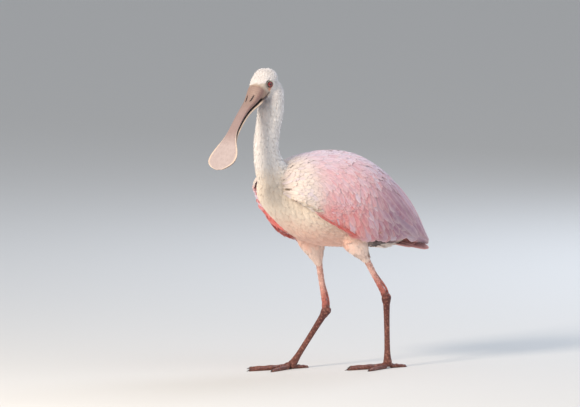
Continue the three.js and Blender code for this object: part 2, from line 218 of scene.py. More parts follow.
def lid_reach(ahead: Array, up: Array) -> Array:
    """How far places of the face lie from the middle of the lids."""
    return np.hypot(ahead - LID_AHEAD, (up - LID_UP) * LID_STRETCH)


def frame_shift() -> Array:
    """Where the bird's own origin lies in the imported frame.

    Returns:
        The shift in metres, read from the left eye's place.
    """
    low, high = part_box("eye_left")
    middle = (np.array(low) + np.array(high)) / 2
    return middle - from_head(*EYE) * MM


SHIFT = frame_shift()


def to_world(points: Array) -> Array:
    """Millimetres in the bird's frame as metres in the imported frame."""
    return points * MM + SHIFT


TORSO = Track([
    [-130, 298, 286, 7], [-124, 314, 271, 26], [-110, 326, 253, 42], [-90, 336, 235, 54],
    [-65, 343, 215, 63], [-35, 346, 202, 67], [0, 344, 196, 67], [35, 336, 194, 63],
    [65, 322, 192, 55], [95, 300, 191, 44], [118, 276, 194, 32], [136, 250, 201, 19],
    [146, 228, 210, 7],
])
NECK = Track([
    [0, 0, -60, 284, 46, 42], [0.12, 0, -84, 296, 44, 38], [0.25, 0, -104, 312, 34, 29],
    [0.36, 0, -116.5, 334, 25, 24], [0.5, 0, -122, 364, 20.5, 21], [0.66, 1.5, -118.5, 395, 20.5, 21],
    [0.82, 3, -115, 422, 21, 22.5], [0.9, 4, -115.5, 438, 21, 22.5], [0.95, 6, -116, 453, 19.5, 21],
    [0.98, 8, -119, 464, 14, 15.5], [1, 9, -122, 470, 7, 8],
])
SKULL = Track([
    [-72, 4, -10, -18], [-69, 10, -3, -25], [-62, 16, 2.5, -30], [-50, 19.2, 5, -34],
    [-40, 19, 4.6, -34], [-30, 16.6, 4.4, -31], [-22, 15, 4.6, -27.5], [-13, 13.4, 3.2, -22.5],
])
WING = Track([
    [-116, 46, 314, 292, 285, 288], [-108, 62, 323, 290, 278, 284], [-95, 71, 332, 286, 270, 260],
    [-75, 75, 340, 282, 259, 232], [-50, 77, 346, 278, 244, 210], [-20, 78, 349, 275, 229, 199],
    [10, 78, 348, 272, 216, 199], [40, 75, 342, 266, 211, 203], [70, 68, 328, 258, 210, 208],
    [100, 57, 307, 246, 209, 208], [125, 45, 285, 236, 209, 208], [145, 34, 263, 226, 203, 203],
    [165, 22, 236, 212, 197, 197], [180, 12, 211, 201, 192, 192], [188, 8, 197, 193, 188, 188],
])
TUCK = 8.0
FLESH_FROM, FLESH_TO, FLESH_SHARE = -112, 150, (0.05, 0.93)


class Side(Enum):
    """The two sides of the bird, with the sign of X on each."""

    LEFT = 1
    RIGHT = -1

    @property
    def word(self) -> str:
        """The side's name in lower case."""
        return self.name.lower()


@dataclass(frozen=True)
class Stance:
    """One leg: x of its plane, rows down its thigh, and y and z of its ankle joint and its foot."""

    x: float
    thigh: tuple[tuple[float, ...], ...]
    hock: tuple[float, float]
    foot: tuple[float, float]


LEGS = {
    Side.LEFT: Stance(
        37.0,
        ((0, 12, 236, 21, 24), (0.3, 22, 213, 22, 23), (0.55, 30, 198, 18, 18), (0.8, 40.5, 183, 11, 10.5),
         (1, 48.4, 171.6, 6, 6)),
        (83.7, 112.3), (86.0, 0.0)),
    Side.RIGHT: Stance(
        -37.0,
        ((0, -20, 236, 21, 26), (0.3, -15, 213, 22, 26), (0.55, -9, 197, 18, 21), (0.8, -2, 178, 11, 12),
         (1, 4, 162, 6, 6)),
        (16.4, 89.3), (-53.0, 0.0)),
}


def wing_at(side: Side, y: Array, v: Array) -> tuple[Array, Array]:
    """The outer form of a folded wing.

    Args:
        side: Which wing.
        y: Place along the body.
        v: 0 at the ridge to 1 at the lower edge.

    Returns:
        Points on the form and its outward normals.
    """
    sign = side.value

    def spot(yy: Array, vv: Array) -> Array:
        """Points of the form.

        Args:
            yy: Place along the body.
            vv: 0 at the ridge to 1 at the lower edge.

        Returns:
            The points.
        """
        rows = WING(yy)
        half, ridge, widest = rows[..., 0], rows[..., 1], rows[..., 2]
        edge = rows[..., 3 if sign > 0 else 4]
        upper = np.minimum(vv, 0.5) * math.pi
        drop = np.maximum(0, vv - 0.5) * 2
        return np.stack([
            sign * (half * np.sin(upper) - TUCK * drop**2),
            np.broadcast_to(yy, upper.shape),
            widest + (ridge - widest) * np.cos(upper) - drop * (widest - edge),
        ], -1)

    y, v = np.broadcast_arrays(np.asarray(y, float), np.asarray(v, float))
    along = spot(y + 1, v) - spot(y - 1, v)
    down = spot(y, v + 0.01) - spot(y, v - 0.01)
    return spot(y, v), unit(np.cross(along, down) * -sign)


# Meshes


@dataclass
class Sheets:
    """Many like grids of points, such as feathers, gathered into one mesh."""

    points: list[Array] = field(default_factory=list)
    tints: list[Array] = field(default_factory=list)
    vanes: list[Array] = field(default_factory=list)
    bakes: list[Array] = field(default_factory=list)

    def add(self, points: Array, tints: Array, vane: Array, bake: Array) -> None:
        """Add a batch of grids.

        Args:
            points: Array [count, stations, columns, 3] in millimetres.
            tints: Colours of the same shape.
            vane: Place on each grid [count, stations, columns, 2].
            bake: Place of each grid's root on the unwrap [count, 2].
        """
        self.points.append(points)
        self.tints.append(np.broadcast_to(tints, points.shape))
        self.vanes.append(np.broadcast_to(vane, points.shape[:-1] + (2,)))
        self.bakes.append(bake)

    def make(self, name: str, material: Material) -> Object:
        """Join the batches into one object.

        Args:
            name: The object's name.
            material: Its finish.

        Returns:
            The new object.
        """
        verts, faces, tints, vanes, bakes = [], [], [], [], []
        start = 0
        for points, tint, vane, bake in zip(self.points, self.tints, self.vanes, self.bakes):
            count, rows, cols = points.shape[:3]
            grid = np.arange(rows * cols).reshape(rows, cols)
            quads = np.stack([grid[:-1, :-1], grid[:-1, 1:], grid[1:, 1:], grid[1:, :-1]], -1).reshape(-1, 4)
            faces.append((quads[None] + start + np.arange(count)[:, None, None] * rows * cols).reshape(-1, 4))
            verts.append(points.reshape(-1, 3))
            tints.append(tint.reshape(-1, 3))
            vanes.append(vane.reshape(-1, 2))
            unit_vane = (vane - vane.min((0, 1, 2))) / np.maximum(np.ptp(vane, axis=(0, 1, 2)), 1e-9)
            patch = np.clip(bake, 0.004, 0.992)[:, None, None] + (unit_vane - 0.5) * 0.003
            bakes.append(np.broadcast_to(patch, vane.shape).reshape(-1, 2))
            start += count * rows * cols
        made = mesh_object(name, np.concatenate(verts), np.concatenate(faces), material)
        paint(made, np.concatenate(tints))
        corner = np.concatenate(faces).reshape(-1)
        write_uv(made, "OFBake", np.concatenate(bakes)[corner])
        write_uv(made, "Vane", np.concatenate(vanes)[corner])
        return made


def mesh_object(name: str, verts: Array, faces: Array, material: Material | None = None) -> Object:
    """Make a smooth-shaded object from arrays.

    Args:
        name: The object's name.
        verts: Points in millimetres in the bird's frame.
        faces: Rows of point numbers, all triangles or all quads.
        material: Its finish, if any.

    Returns:
        The new object, linked to the scene.
    """
    size = faces.shape[1]
    mesh = bpy.data.meshes.new(name)
    mesh.vertices.add(len(verts))
    mesh.vertices.foreach_set("co", to_world(verts).astype(np.float32).ravel())
    mesh.loops.add(faces.size)
    mesh.loops.foreach_set("vertex_index", faces.astype(np.int32).ravel())
    mesh.polygons.add(len(faces))
    mesh.polygons.foreach_set("loop_start", np.arange(len(faces), dtype=np.int32) * size)
    mesh.polygons.foreach_set("loop_total", np.full(len(faces), size, np.int32))
    mesh.update(calc_edges=True)
    mesh.validate()
    mesh.polygons.foreach_set("use_smooth", np.ones(len(mesh.polygons), bool))
    return add_object(name, mesh, material)


def paint(made: Object, tints: Array) -> None:
    """Store a colour for each point, as the attribute Plumage.

    Args:
        made: The object.
        tints: One linear colour for each point.
    """
    layer = made.data.color_attributes.new("Plumage", "FLOAT_COLOR", "POINT")
    full = np.ones((len(tints), 4), np.float32)
    full[:, :3] = np.clip(tints, 0, 1)
    layer.data.foreach_set("color", full.ravel())


def add_object(name: str, mesh: bpy.types.Mesh, material: Material | None = None) -> Object:
    """Link a new object to the scene.

    Args:
        name: The object's name.
        mesh: Its mesh.
        material: Its finish, if any.

    Returns:
        The new object.
    """
    made = bpy.data.objects.new(name, mesh)
    bpy.context.collection.objects.link(made)
    if material is not None:
        mesh.materials.append(material)
    return made


def write_uv(made: Object, name: str, values: Array) -> None:
    """Store a UV map, one row of values for each corner."""
    made.data.uv_layers.new(name=name).data.foreach_set("uv", values.astype(np.float32).ravel())


def points_of(made: Object) -> Array:
    """An object's points.

    Args:
        made: The object.

    Returns:
        Its points in millimetres in the bird's frame.
    """
    flat = np.empty(len(made.data.vertices) * 3, np.float32)
    made.data.vertices.foreach_get("co", flat)
    return (flat.reshape(-1, 3) - SHIFT) / MM


def tube(rings: Array) -> tuple[Array, Array]:
    """Close a stack of rings with a point at each end.

    Args:
        rings: Array [stations, sides, 3].

    Returns:
        Points and triangles.
    """
    rows, sides = rings.shape[:2]
    verts = np.concatenate([rings.reshape(-1, 3), rings[0].mean(0)[None], rings[-1].mean(0)[None]])
    a = np.arange(rows * sides).reshape(rows, sides)
    b = np.roll(a, -1, axis=1)
    first, last = np.full(sides, rows * sides), np.full(sides, rows * sides + 1)
    corners = [(a[:-1], b[:-1], b[1:]), (a[:-1], b[1:], a[1:]), (b[0], a[0], first), (a[-1], b[-1], last)]
    return verts, np.concatenate([np.stack(three, -1).reshape(-1, 3) for three in corners])


def limb_rings(rows: Array, sides: int, bulge: Callable[[Array, Array], Array] | None = None) -> Array:
    """Rings round a path.

    Args:
        rows: Array [stations, 5] of x, y, z, half width across and half depth.
        sides: Points in each ring.
        bulge: Extra radius at (share along, angle), if any.

    Returns:
        Array [stations, sides, 3].
    """
    middle = rows[:, :3]
    along = unit(np.gradient(middle, axis=0))
    across = unit(np.array([1.0, 0, 0]) - along * along[:, :1])
    front = np.cross(along, across)
    angle = circle(sides)
    share = np.linspace(0, 1, len(rows))
    extra = bulge(share[:, None], angle[None]) if bulge else np.zeros((len(rows), sides))
    return (
        middle[:, None]
        + across[:, None] * ((rows[:, 3:4] + extra) * np.sin(angle))[..., None]
        + front[:, None] * ((rows[:, 4:5] + extra) * np.cos(angle))[..., None]
    )


# Shader node tools


FULL_TURN = 6.2832


class Nodes:
    """A short way to lay out a node tree."""

    def __init__(self, tree: Tree) -> None:
        """Start on a tree.

        Args:
            tree: A material's or a group's tree.
        """
        self.tree = tree
        self.tree.nodes.clear()

    def fill(self, node: Node, inputs: dict[str | int, object]) -> Node:
        """Fill a node's inputs.

        Args:
            node: The node.
            inputs: Socket to value, or to the socket that feeds it.

        Returns:
            The same node.
        """
        for socket, value in inputs.items():
            if isinstance(value, Socket):
                self.tree.links.new(value, node.inputs[socket])
            else:
                node.inputs[socket].default_value = value
        return node

    def add(self, kind: str, inputs: dict[str | int, object] | None = None, **settings: object) -> Node:
        """Add a node and fill its inputs.

        Args:
            kind: The node's type name without ShaderNode.
            inputs: Socket to value, or to the socket that feeds it.
            settings: Properties of the node itself.

        Returns:
            The new node.
        """
        made = self.tree.nodes.new("ShaderNode" + kind)
        for name, value in settings.items():
            setattr(made, name, value)
        return self.fill(made, inputs or {})

    def group(self, group: Tree, inputs: dict[str, object]) -> Node:
        """Place a node group with its own values."""
        return self.add("Group", inputs, node_tree=group)

    def tint(self) -> Socket:
        """The colour that each point carries."""
        return self.add("Attribute", attribute_name="Plumage").outputs["Color"]

    def math(self, operation: str, *values: object) -> Socket:
        """A Math node's output for one to three values or sockets."""
        return self.add("Math", dict(enumerate(values)), operation=operation).outputs[0]

    def mix(self, share: object, a: object, b: object, kind: str = "MIX") -> Socket:
        """A mix of two colours, or of the sockets that give them, with share telling how much of b."""
        return self.add("Mix", {0: share, 6: a, 7: b}, data_type="RGBA", blend_type=kind).outputs[2]

    def stain(self, mask: Socket, amount: float, a: object, b: object) -> Socket:
        """Colour b laid over a, by an amount of a mask."""
        return self.mix(self.math("MULTIPLY", mask, amount), a, b)

    def ramp(self, value: object, low: float, high: float) -> Socket:
        """A clamped, smoothed change of range from low and high to 0 and 1."""
        steps = {0: value, 1: low, 2: high, 3: 0.0, 4: 1.0}
        return self.add("MapRange", steps, interpolation_type="SMOOTHSTEP").outputs[0]


def new_group(name: str, inputs: dict[str, float], outputs: Sequence[str]) -> tuple[Nodes, Node, Node]:
    """Start a shader node group whose sockets are all single values.

    Args:
        name: The group's name.
        inputs: Each input's name and default value.
        outputs: The outputs' names.

    Returns:
        The group's node tool, and its input and output nodes.
    """
    tree = bpy.data.node_groups.new(name, "ShaderNodeTree")
    for title, value in inputs.items():
        tree.interface.new_socket(title, in_out="INPUT", socket_type="NodeSocketFloat").default_value = value
    for title in outputs:
        tree.interface.new_socket(title, in_out="OUTPUT", socket_type="NodeSocketFloat")
    return Nodes(tree), tree.nodes.new("NodeGroupInput"), tree.nodes.new("NodeGroupOutput")


def mottle_group() -> Tree:
    """Two sizes of soft noise in the object's own space.

    Returns:
        A group with a Tone mask and a Height value.
    """
    nodes, inside, outside = new_group("Mottle", {"Scale": 200.0, "Detail": 4.0}, ("Tone", "Height"))
    place = nodes.add("TexCoord").outputs["Object"]
    scale, detail = inside.outputs["Scale"], inside.outputs["Detail"]
    wide = nodes.add("TexNoise", {"Vector": place, "Scale": scale, "Detail": detail, "Roughness": 0.6})
    finer = nodes.math("MULTIPLY", scale, 5.0)
    fine = nodes.add("TexNoise", {"Vector": place, "Scale": finer, "Detail": 3.0, "Roughness": 0.55})
    height = nodes.math("MULTIPLY_ADD", fine.outputs[0], 0.5, wide.outputs[0])
    nodes.fill(outside, {"Tone": nodes.ramp(wide.outputs[0], 0.32, 0.68), "Height": height})
    return nodes.tree


def barbs_group() -> Tree:
    """The barbs and shaft of a feather, from its Vane map.

    Returns:
        A group with a Height value and a Streak mask.
    """
    sizes = {"Count": 60.0, "Slant": 0.5, "Streaks": 9.0}
    nodes, inside, outside = new_group("Barbs", sizes, ("Height", "Streak"))
    vane = nodes.add("UVMap", uv_map="Vane").outputs[0]
    parts = nodes.add("SeparateXYZ", {0: vane})
    across = nodes.math("ABSOLUTE", nodes.math("SUBTRACT", nodes.math("FRACT", parts.outputs[0]), 0.5))
    along = nodes.math("FRACT", parts.outputs[1])
    slanted = nodes.math("MULTIPLY_ADD", across, inside.outputs["Slant"], along)
    counted = nodes.math("MULTIPLY", slanted, inside.outputs["Count"])
    wave = nodes.math("SINE", nodes.math("MULTIPLY", counted, FULL_TURN))
    shaft = nodes.ramp(across, 0.05, 0.015)
    stretched = nodes.add("VectorMath", {0: vane, 1: (1.0, 0.08, 1.0)}, operation="MULTIPLY").outputs[0]
    noise = nodes.add("TexNoise", {
        "Vector": stretched, "Scale": inside.outputs["Streaks"], "Detail": 4.0, "Roughness": 0.65})
    streak = nodes.ramp(noise.outputs[0], 0.34, 0.66)
    height = nodes.math("MULTIPLY_ADD", wave, 0.25, nodes.math("MULTIPLY_ADD", streak, 0.8, shaft))
    nodes.fill(outside, {"Height": height, "Streak": streak})
    return nodes.tree


def scales_group() -> Tree:
    """Small flat scales with dark seams.

    Returns:
        A group with a Seam mask and a Height value.
    """
    nodes, inside, outside = new_group("Scales", {"Scale": 400.0, "Stretch": 1.0}, ("Seam", "Height"))
    place = nodes.add("TexCoord").outputs["Object"]
    squeeze = nodes.add("CombineXYZ", {0: 1.0, 1: 1.0, 2: inside.outputs["Stretch"]}).outputs[0]
    shaped = nodes.add("VectorMath", {0: place, 1: squeeze}, operation="MULTIPLY").outputs[0]
    cells = nodes.add(
        "TexVoronoi", {"Vector": shaped, "Scale": inside.outputs["Scale"]}, feature="DISTANCE_TO_EDGE")
    edge = cells.outputs["Distance"]
    nodes.fill(outside, {"Seam": nodes.ramp(edge, 0.09, 0.01), "Height": nodes.ramp(edge, 0.0, 0.3)})
    return nodes.tree


# Finishes


@dataclass(frozen=True)
class Finish:
    """What all finishes share: the stored colour under a soft mottle, which may also raise the surface."""

    name: str
    roughness: float
    shine: tuple[tuple[str, float], ...] = ()
    bump: float = 0.0
    depth: float = 0.0
    scale: float = 200.0
    detail: float = 5.0
    amount: float = 0.0
    stain: Rgba = (0.2, 0.1, 0.1, 1.0)
    deepens: bool = False

    def make(self, groups: dict[str, Tree]) -> Material:
        """Build the material.

        Args:
            groups: The shared node groups by name.

        Returns:
            The material.
        """
        material = bpy.data.materials.new(self.name)
        material.use_nodes = True
        nodes = Nodes(material.node_tree)
        shader = nodes.add("BsdfPrincipled", {"Roughness": self.roughness, **dict(self.shine)})
        nodes.add("OutputMaterial", {0: shader.outputs[0]})
        colour, height = self.look(nodes, groups)
        nodes.fill(shader, {"Base Color": colour})
        if self.bump:
            bump = nodes.add("Bump", {"Height": height, "Strength": self.bump, "Distance": self.depth})
            nodes.fill(shader, {"Normal": bump.outputs[0]})
        return material

    def look(self, nodes: Nodes, groups: dict[str, Tree]) -> tuple[Socket | Rgba, Socket | None]:
        """The finish's colour and height."""
        return self.mottled(nodes, groups, nodes.tint())

    def mottled(self, nodes: Nodes, groups: dict[str, Tree], under: Socket) -> tuple[Socket, Socket]:
        """Lay the mottle over a colour.

        Args:
            nodes: The material's node tool.
            groups: The shared node groups by name.
            under: The colour.

        Returns:
            The stained colour and the mottle's height.
        """
        mottle = nodes.group(groups["mottle"], {"Scale": self.scale, "Detail": self.detail})
        stain = nodes.mix(1.0, under, self.stain, "MULTIPLY") if self.deepens else self.stain
        return nodes.stain(mottle.outputs["Tone"], self.amount, under, stain), mottle.outputs["Height"]


@dataclass(frozen=True)
class Plumage(Finish):
    """Soft feathers: colour from the Plumage attribute, with barbs and streaks."""

    shine: tuple[tuple[str, float], ...] = (("Sheen Weight", 0.15), ("Sheen Roughness", 0.5))
    bump: float = 0.35
    depth: float = 0.0004
    scale: float = 90.0
    detail: float = 3.0
    amount: float = 0.10
    stain: Rgba = (1.0, 0.93, 0.88, 1.0)
    barbs: float = 50.0
    slant: float = 0.6
    streaks: float = 7.0
    contrast: float = 0.16

    def look(self, nodes: Nodes, groups: dict[str, Tree]) -> tuple[Socket, Socket]:
        """Lay out the streaks and barbs.

        Args:
            nodes: The material's node tool.
            groups: The shared node groups by name.

        Returns:
            The colour and the height.
        """
        sizes = {"Count": self.barbs, "Slant": self.slant, "Streaks": self.streaks}
        vane = nodes.group(groups["barbs"], sizes)
        tint = nodes.tint()
        dark = nodes.mix(self.contrast, tint, tint, "MULTIPLY")
        streaked = nodes.mix(vane.outputs["Streak"], dark, tint)
        return self.mottled(nodes, groups, streaked)[0], vane.outputs["Height"]


@dataclass(frozen=True)
class Down(Finish):
    """The wrinkled skin under the feathers, and the bare face."""

    bump: float = 0.5
    depth: float = 0.0008
    scale: float = 260.0
    amount: float = 0.28
    stain: Rgba = (0.20, 0.12, 0.10, 1.0)


@dataclass(frozen=True)
class Horn(Finish):
    """The bill's horn, with soft flecks and fine dark specks."""

    shine: tuple[tuple[str, float], ...] = (("Coat Weight", 0.12), ("Coat Roughness", 0.35))
    bump: float = 0.35
    depth: float = 0.0005
    scale: float = 160.0
    amount: float = 0.22
    stain: Rgba = (0.25, 0.18, 0.17, 1.0)
    speck_scale: float = 520.0
    speck: Rgba = (0.10, 0.08, 0.09, 1.0)

    def look(self, nodes: Nodes, groups: dict[str, Tree]) -> tuple[Socket, Socket]:
        """Lay out the flecks and specks.

        Args:
            nodes: The material's node tool.
            groups: The shared node groups by name.

        Returns:
            The colour and the height.
        """
        flecked, height = self.mottled(nodes, groups, nodes.tint())
        specks = nodes.group(groups["mottle"], {"Scale": self.speck_scale, "Detail": 2.0})
        return nodes.stain(nodes.ramp(specks.outputs["Height"], 0.86, 1.0), 0.35, flecked, self.speck), height


@dataclass(frozen=True)
class ScalySkin(Finish):
    """Skin of the legs and toes, in small scales, with mud in its seams."""

    bump: float = 0.6
    depth: float = 0.0006
    scale: float = 130.0
    amount: float = 0.55
    stain: Rgba = (0.45, 0.3, 0.25, 1.0)
    deepens: bool = True
    scales: float = 420.0
    stretch: float = 0.7
    seam: Rgba = (0.03, 0.012, 0.01, 1.0)

    def look(self, nodes: Nodes, groups: dict[str, Tree]) -> tuple[Socket, Socket]:
        """Lay out the scales and the mud.

        Args:
            nodes: The material's node tool.
            groups: The shared node groups by name.

        Returns:
            The colour and the height.
        """
        scales = nodes.group(groups["scales"], {"Scale": self.scales, "Stretch": self.stretch})
        muddy, _ = self.mottled(nodes, groups, nodes.tint())
        return nodes.stain(scales.outputs["Seam"], 0.6, muddy, self.seam), scales.outputs["Height"]


@dataclass(frozen=True)
class WetEye(Finish):
    """The eye's clear, wet surface over its iris and pupil."""

    shine: tuple[tuple[str, float], ...] = (("Coat Weight", 1.0), ("Coat Roughness", 0.03))
    scale: float = 900.0
    detail: float = 3.0
    amount: float = 0.35
    stain: Rgba = (0.4, 0.25, 0.25, 1.0)
    deepens: bool = True


@dataclass(frozen=True)
class StudioPaper(Finish):
    """The plain pale floor."""

    tone: Rgba = (0.72, 0.71, 0.69, 1.0)

    def look(self, *_: object) -> tuple[Rgba, None]:
        """The floor's one colour, and no height."""
        return self.tone, None


# Colours, as linear values


def srgb(red: int, green: int, blue: int) -> Array:
    """A screen colour as a linear one."""
    c = np.array([red, green, blue]) / 255
    return np.where(c <= 0.04045, c / 12.92, ((c + 0.055) / 1.055) ** 2.4)


def ink(red: int, green: int, blue: int) -> Array:
    """A palette entry that holds one screen colour."""
    return field(default_factory=lambda: srgb(red, green, blue))


@dataclass(frozen=True)
class Palette:
    """The bird's colours."""

    neck: Array = ink(232, 228, 226)
    crown: Array = ink(230, 226, 226)
    breast: Array = ink(240, 224, 206)
    thigh: Array = ink(242, 214, 200)
    belly: Array = ink(236, 188, 168)
    mantle: Array = ink(222, 206, 222)
    cream: Array = ink(240, 224, 214)
    pale: Array = ink(236, 190, 198)
    rose: Array = ink(228, 152, 160)
    deep: Array = ink(226, 116, 110)
    carmine: Array = ink(198, 56, 44)
    # the wing's rear tone: its pink, darkened to mauve as painted shade
    shaded_mauve: Array = ink(164, 120, 144)
    # maroon is the tail's dark tone; near-black it is painted shade under the wing, and thin it is painted
    # shade in the back's notch
    maroon: Array = ink(124, 56, 54)
    face: Array = ink(186, 158, 138)
    lore: Array = ink(150, 122, 110)
    ring: Array = ink(206, 196, 182)
    # the gape's near-black is painted shade in the crease of the mouth
    gape: Array = ink(40, 32, 34)
    # the throat's blue-grey is partly its own, partly painted shade under the jaw
    throat: Array = ink(122, 124, 138)
    lid: Array = ink(216, 134, 100)
    lid_edge: Array = ink(34, 26, 28)
    iris: Array = ink(168, 32, 22)
    iris_fibre: Array = ink(126, 18, 14)
    iris_rim: Array = ink(90, 12, 12)
    pupil: Array = ink(6, 5, 6)
    bill_root: Array = ink(168, 142, 130)
    bill_shaft: Array = ink(164, 140, 136)
    bill_blade: Array = ink(190, 174, 172)
    bill_rim: Array = ink(226, 204, 186)
    bill_flush: Array = ink(186, 84, 62)
    bill_cream: Array = ink(230, 206, 184)
    bill_groove: Array = ink(120, 92, 88)
    bill_edge: Array = ink(150, 104, 92)
    # partly the chin's own grey, partly painted shade under the jaw
    bill_chin_grey_and_shade: Array = ink(70, 62, 66)
    # the nostril's near-black is painted shade in the slits
    nostril: Array = ink(28, 20, 22)
    # the mouth's near-black is painted shade on the bill's inner faces
    mouth: Array = ink(26, 16, 16)
    shin_rosy: Array = ink(240, 192, 178)
    shin_flush: Array = ink(216, 128, 114)
    shin_dark: Array = ink(104, 50, 44)
    shin_mud: Array = ink(124, 70, 58)
    shin_fleck: Array = ink(204, 146, 124)
    claw: Array = ink(30, 24, 22)


INK = Palette()


def plumage(points: Array) -> Array:
    """Colour of the body's feathers and of the skin under them.

    Args:
        points: Places in millimetres.

    Returns:
        Linear colours.
    """
    x, y, z = points[..., 0], points[..., 1], points[..., 2]
    body = blend(INK.breast, INK.belly, smooth(262, 205, z + 0.12 * y) * smooth(186, 206, z))
    for leg in LEGS.values():
        (_, top_y, top_z, *_), (_, low_y, low_z, *_) = leg.thigh[0], leg.thigh[2]
        lean = top_y + (low_y - top_y) * (top_z - z) / (top_z - low_z)
        body = blend(body, INK.thigh, smooth(32, 20, np.hypot(x - leg.x, y - lean)) * smooth(226, 208, z))
    # painted shade: a near-black band along the body's side, under the wing's rear edge
    shade_under_wing = smooth(36, 50, y) * smooth(216, 210, z) * smooth(195, 199, z)
    body = blend(body, INK.maroon * 0.14, shade_under_wing * 0.97)
    body = blend(body, INK.cream * 0.9, smooth(66, 86, y) * smooth(198, 194, z) * 0.8)
    back = smooth(285, 325, z) * smooth(-95, -30, y)
    body = blend(body, INK.mantle, back)
    rump = smooth(60, 130, y)
    body = blend(body, INK.pale, rump * 0.8)
    strip = smooth(-36, -46, x) * smooth(-40, -70, y) * smooth(200, 222, z) * smooth(312, 300, z)
    body = blend(body, blend(INK.mantle, INK.deep, smooth(286, 262, z)), strip)
    tone = blend(body, INK.neck, smooth(305, 350, z) * smooth(-70, -95, y))
    # partly painted shade: the throat's grey runs down onto the neck from under the jaw
    tone = blend(tone, INK.throat, throat_grey_and_shade(points))
    waves = 1 + 0.03 * ripple(points, 46, 5)
    return tone * waves[..., None]


def throat_grey_and_shade(points: Array) -> Array:
    """How grey the small feathers are behind the gape and under the chin: partly the throat's own grey,
    partly painted shade under the jaw.

    Args:
        points: Places in millimetres.

    Returns:
        Shares from 0 to 1.
    """
    left, ahead, up = np.moveaxis(to_head(points), -1, 0)
    reach = np.sqrt((np.maximum(0, np.abs(left) - 5)) ** 2 + (ahead + 25) ** 2 + (up + 31) ** 2)
    return 0.75 * np.exp(-((reach / 9.5) ** 2))


def face_shares(points: Array) -> tuple[Array, Array, Array, Array]:
    """How bare the head is, how much painted shade lies in the crease of the gape, and how near the skin
    under and round an eye.

    Args:
        points: Places in millimetres.

    Returns:
        Four shares from 0 to 1: bare, gape, under an eye and round it.
    """
    head = to_head(points)
    left, ahead, up = np.abs(head[..., 0]), head[..., 1], head[..., 2]
    edge = -28.5 - 6.5 * smooth(7, 15, left) + 4.0 * smooth(-20, -27, up) + 1.2 * ripple(points, 7, 9, 2)
    near_head = smooth(46, 40, np.linalg.norm(points - from_head(0, -30, -12), axis=-1))
    bare = smooth(edge - 1.0, edge + 1.0, ahead) * smooth(-27.5, -24.5, up) * near_head
    fold = np.abs(up + 19.3 - 0.12 * (ahead + 20)) + 3 * smooth(-30, -34, ahead)
    gape = smooth(1.9, 0.7, fold) * smooth(9, 12, left) * near_head
    cheek = smooth(FACE_FROM, FACE_TO, left)
    under = np.exp(-(((ahead + 33.6) ** 2 + (up + 15.6) ** 2) / 9.5)) * cheek
    return bare, gape, under, smooth(8.0, 6.0, lid_reach(ahead, up)) * cheek


def skin_tint(points: Array) -> Array:
    """Colour of the bare skin and of the down under the feathers.

    Args:
        points: Places in millimetres.

    Returns:
        Linear colours.
    """
    bare, gape, under, eye = face_shares(points)
    down = plumage(points) * np.array([0.97, 0.95, 0.94])
    folds = blend(INK.face, INK.lore, 0.5 + 0.5 * ripple(points, 6, 3))
    folds = blend(folds, INK.ring, smooth(-23, -30, to_head(points)[..., 1]) * 0.8)
    tone = blend(down, folds, bare)
    tone = blend(tone, INK.lid, under)
    # painted shade: a near-black line in the crease of the gape
    tone = blend(tone, INK.gape, gape)
    return blend(tone, INK.lore * 0.5, eye)


# The skin


def thigh_rows(side: Side, count: int) -> Array:
    """Stations down a thigh.

    Args:
        side: Which thigh.
        count: How many stations.

    Returns:
        Rows of x, y, z, half width and half depth.
    """
    t = np.linspace(0, 1, count)
    y, z, a, b = Track(LEGS[side].thigh)(t).T
    x = LEGS[side].x - side.value * 4 * (1 - t)
    return np.stack([x, y, z, a, b], -1)


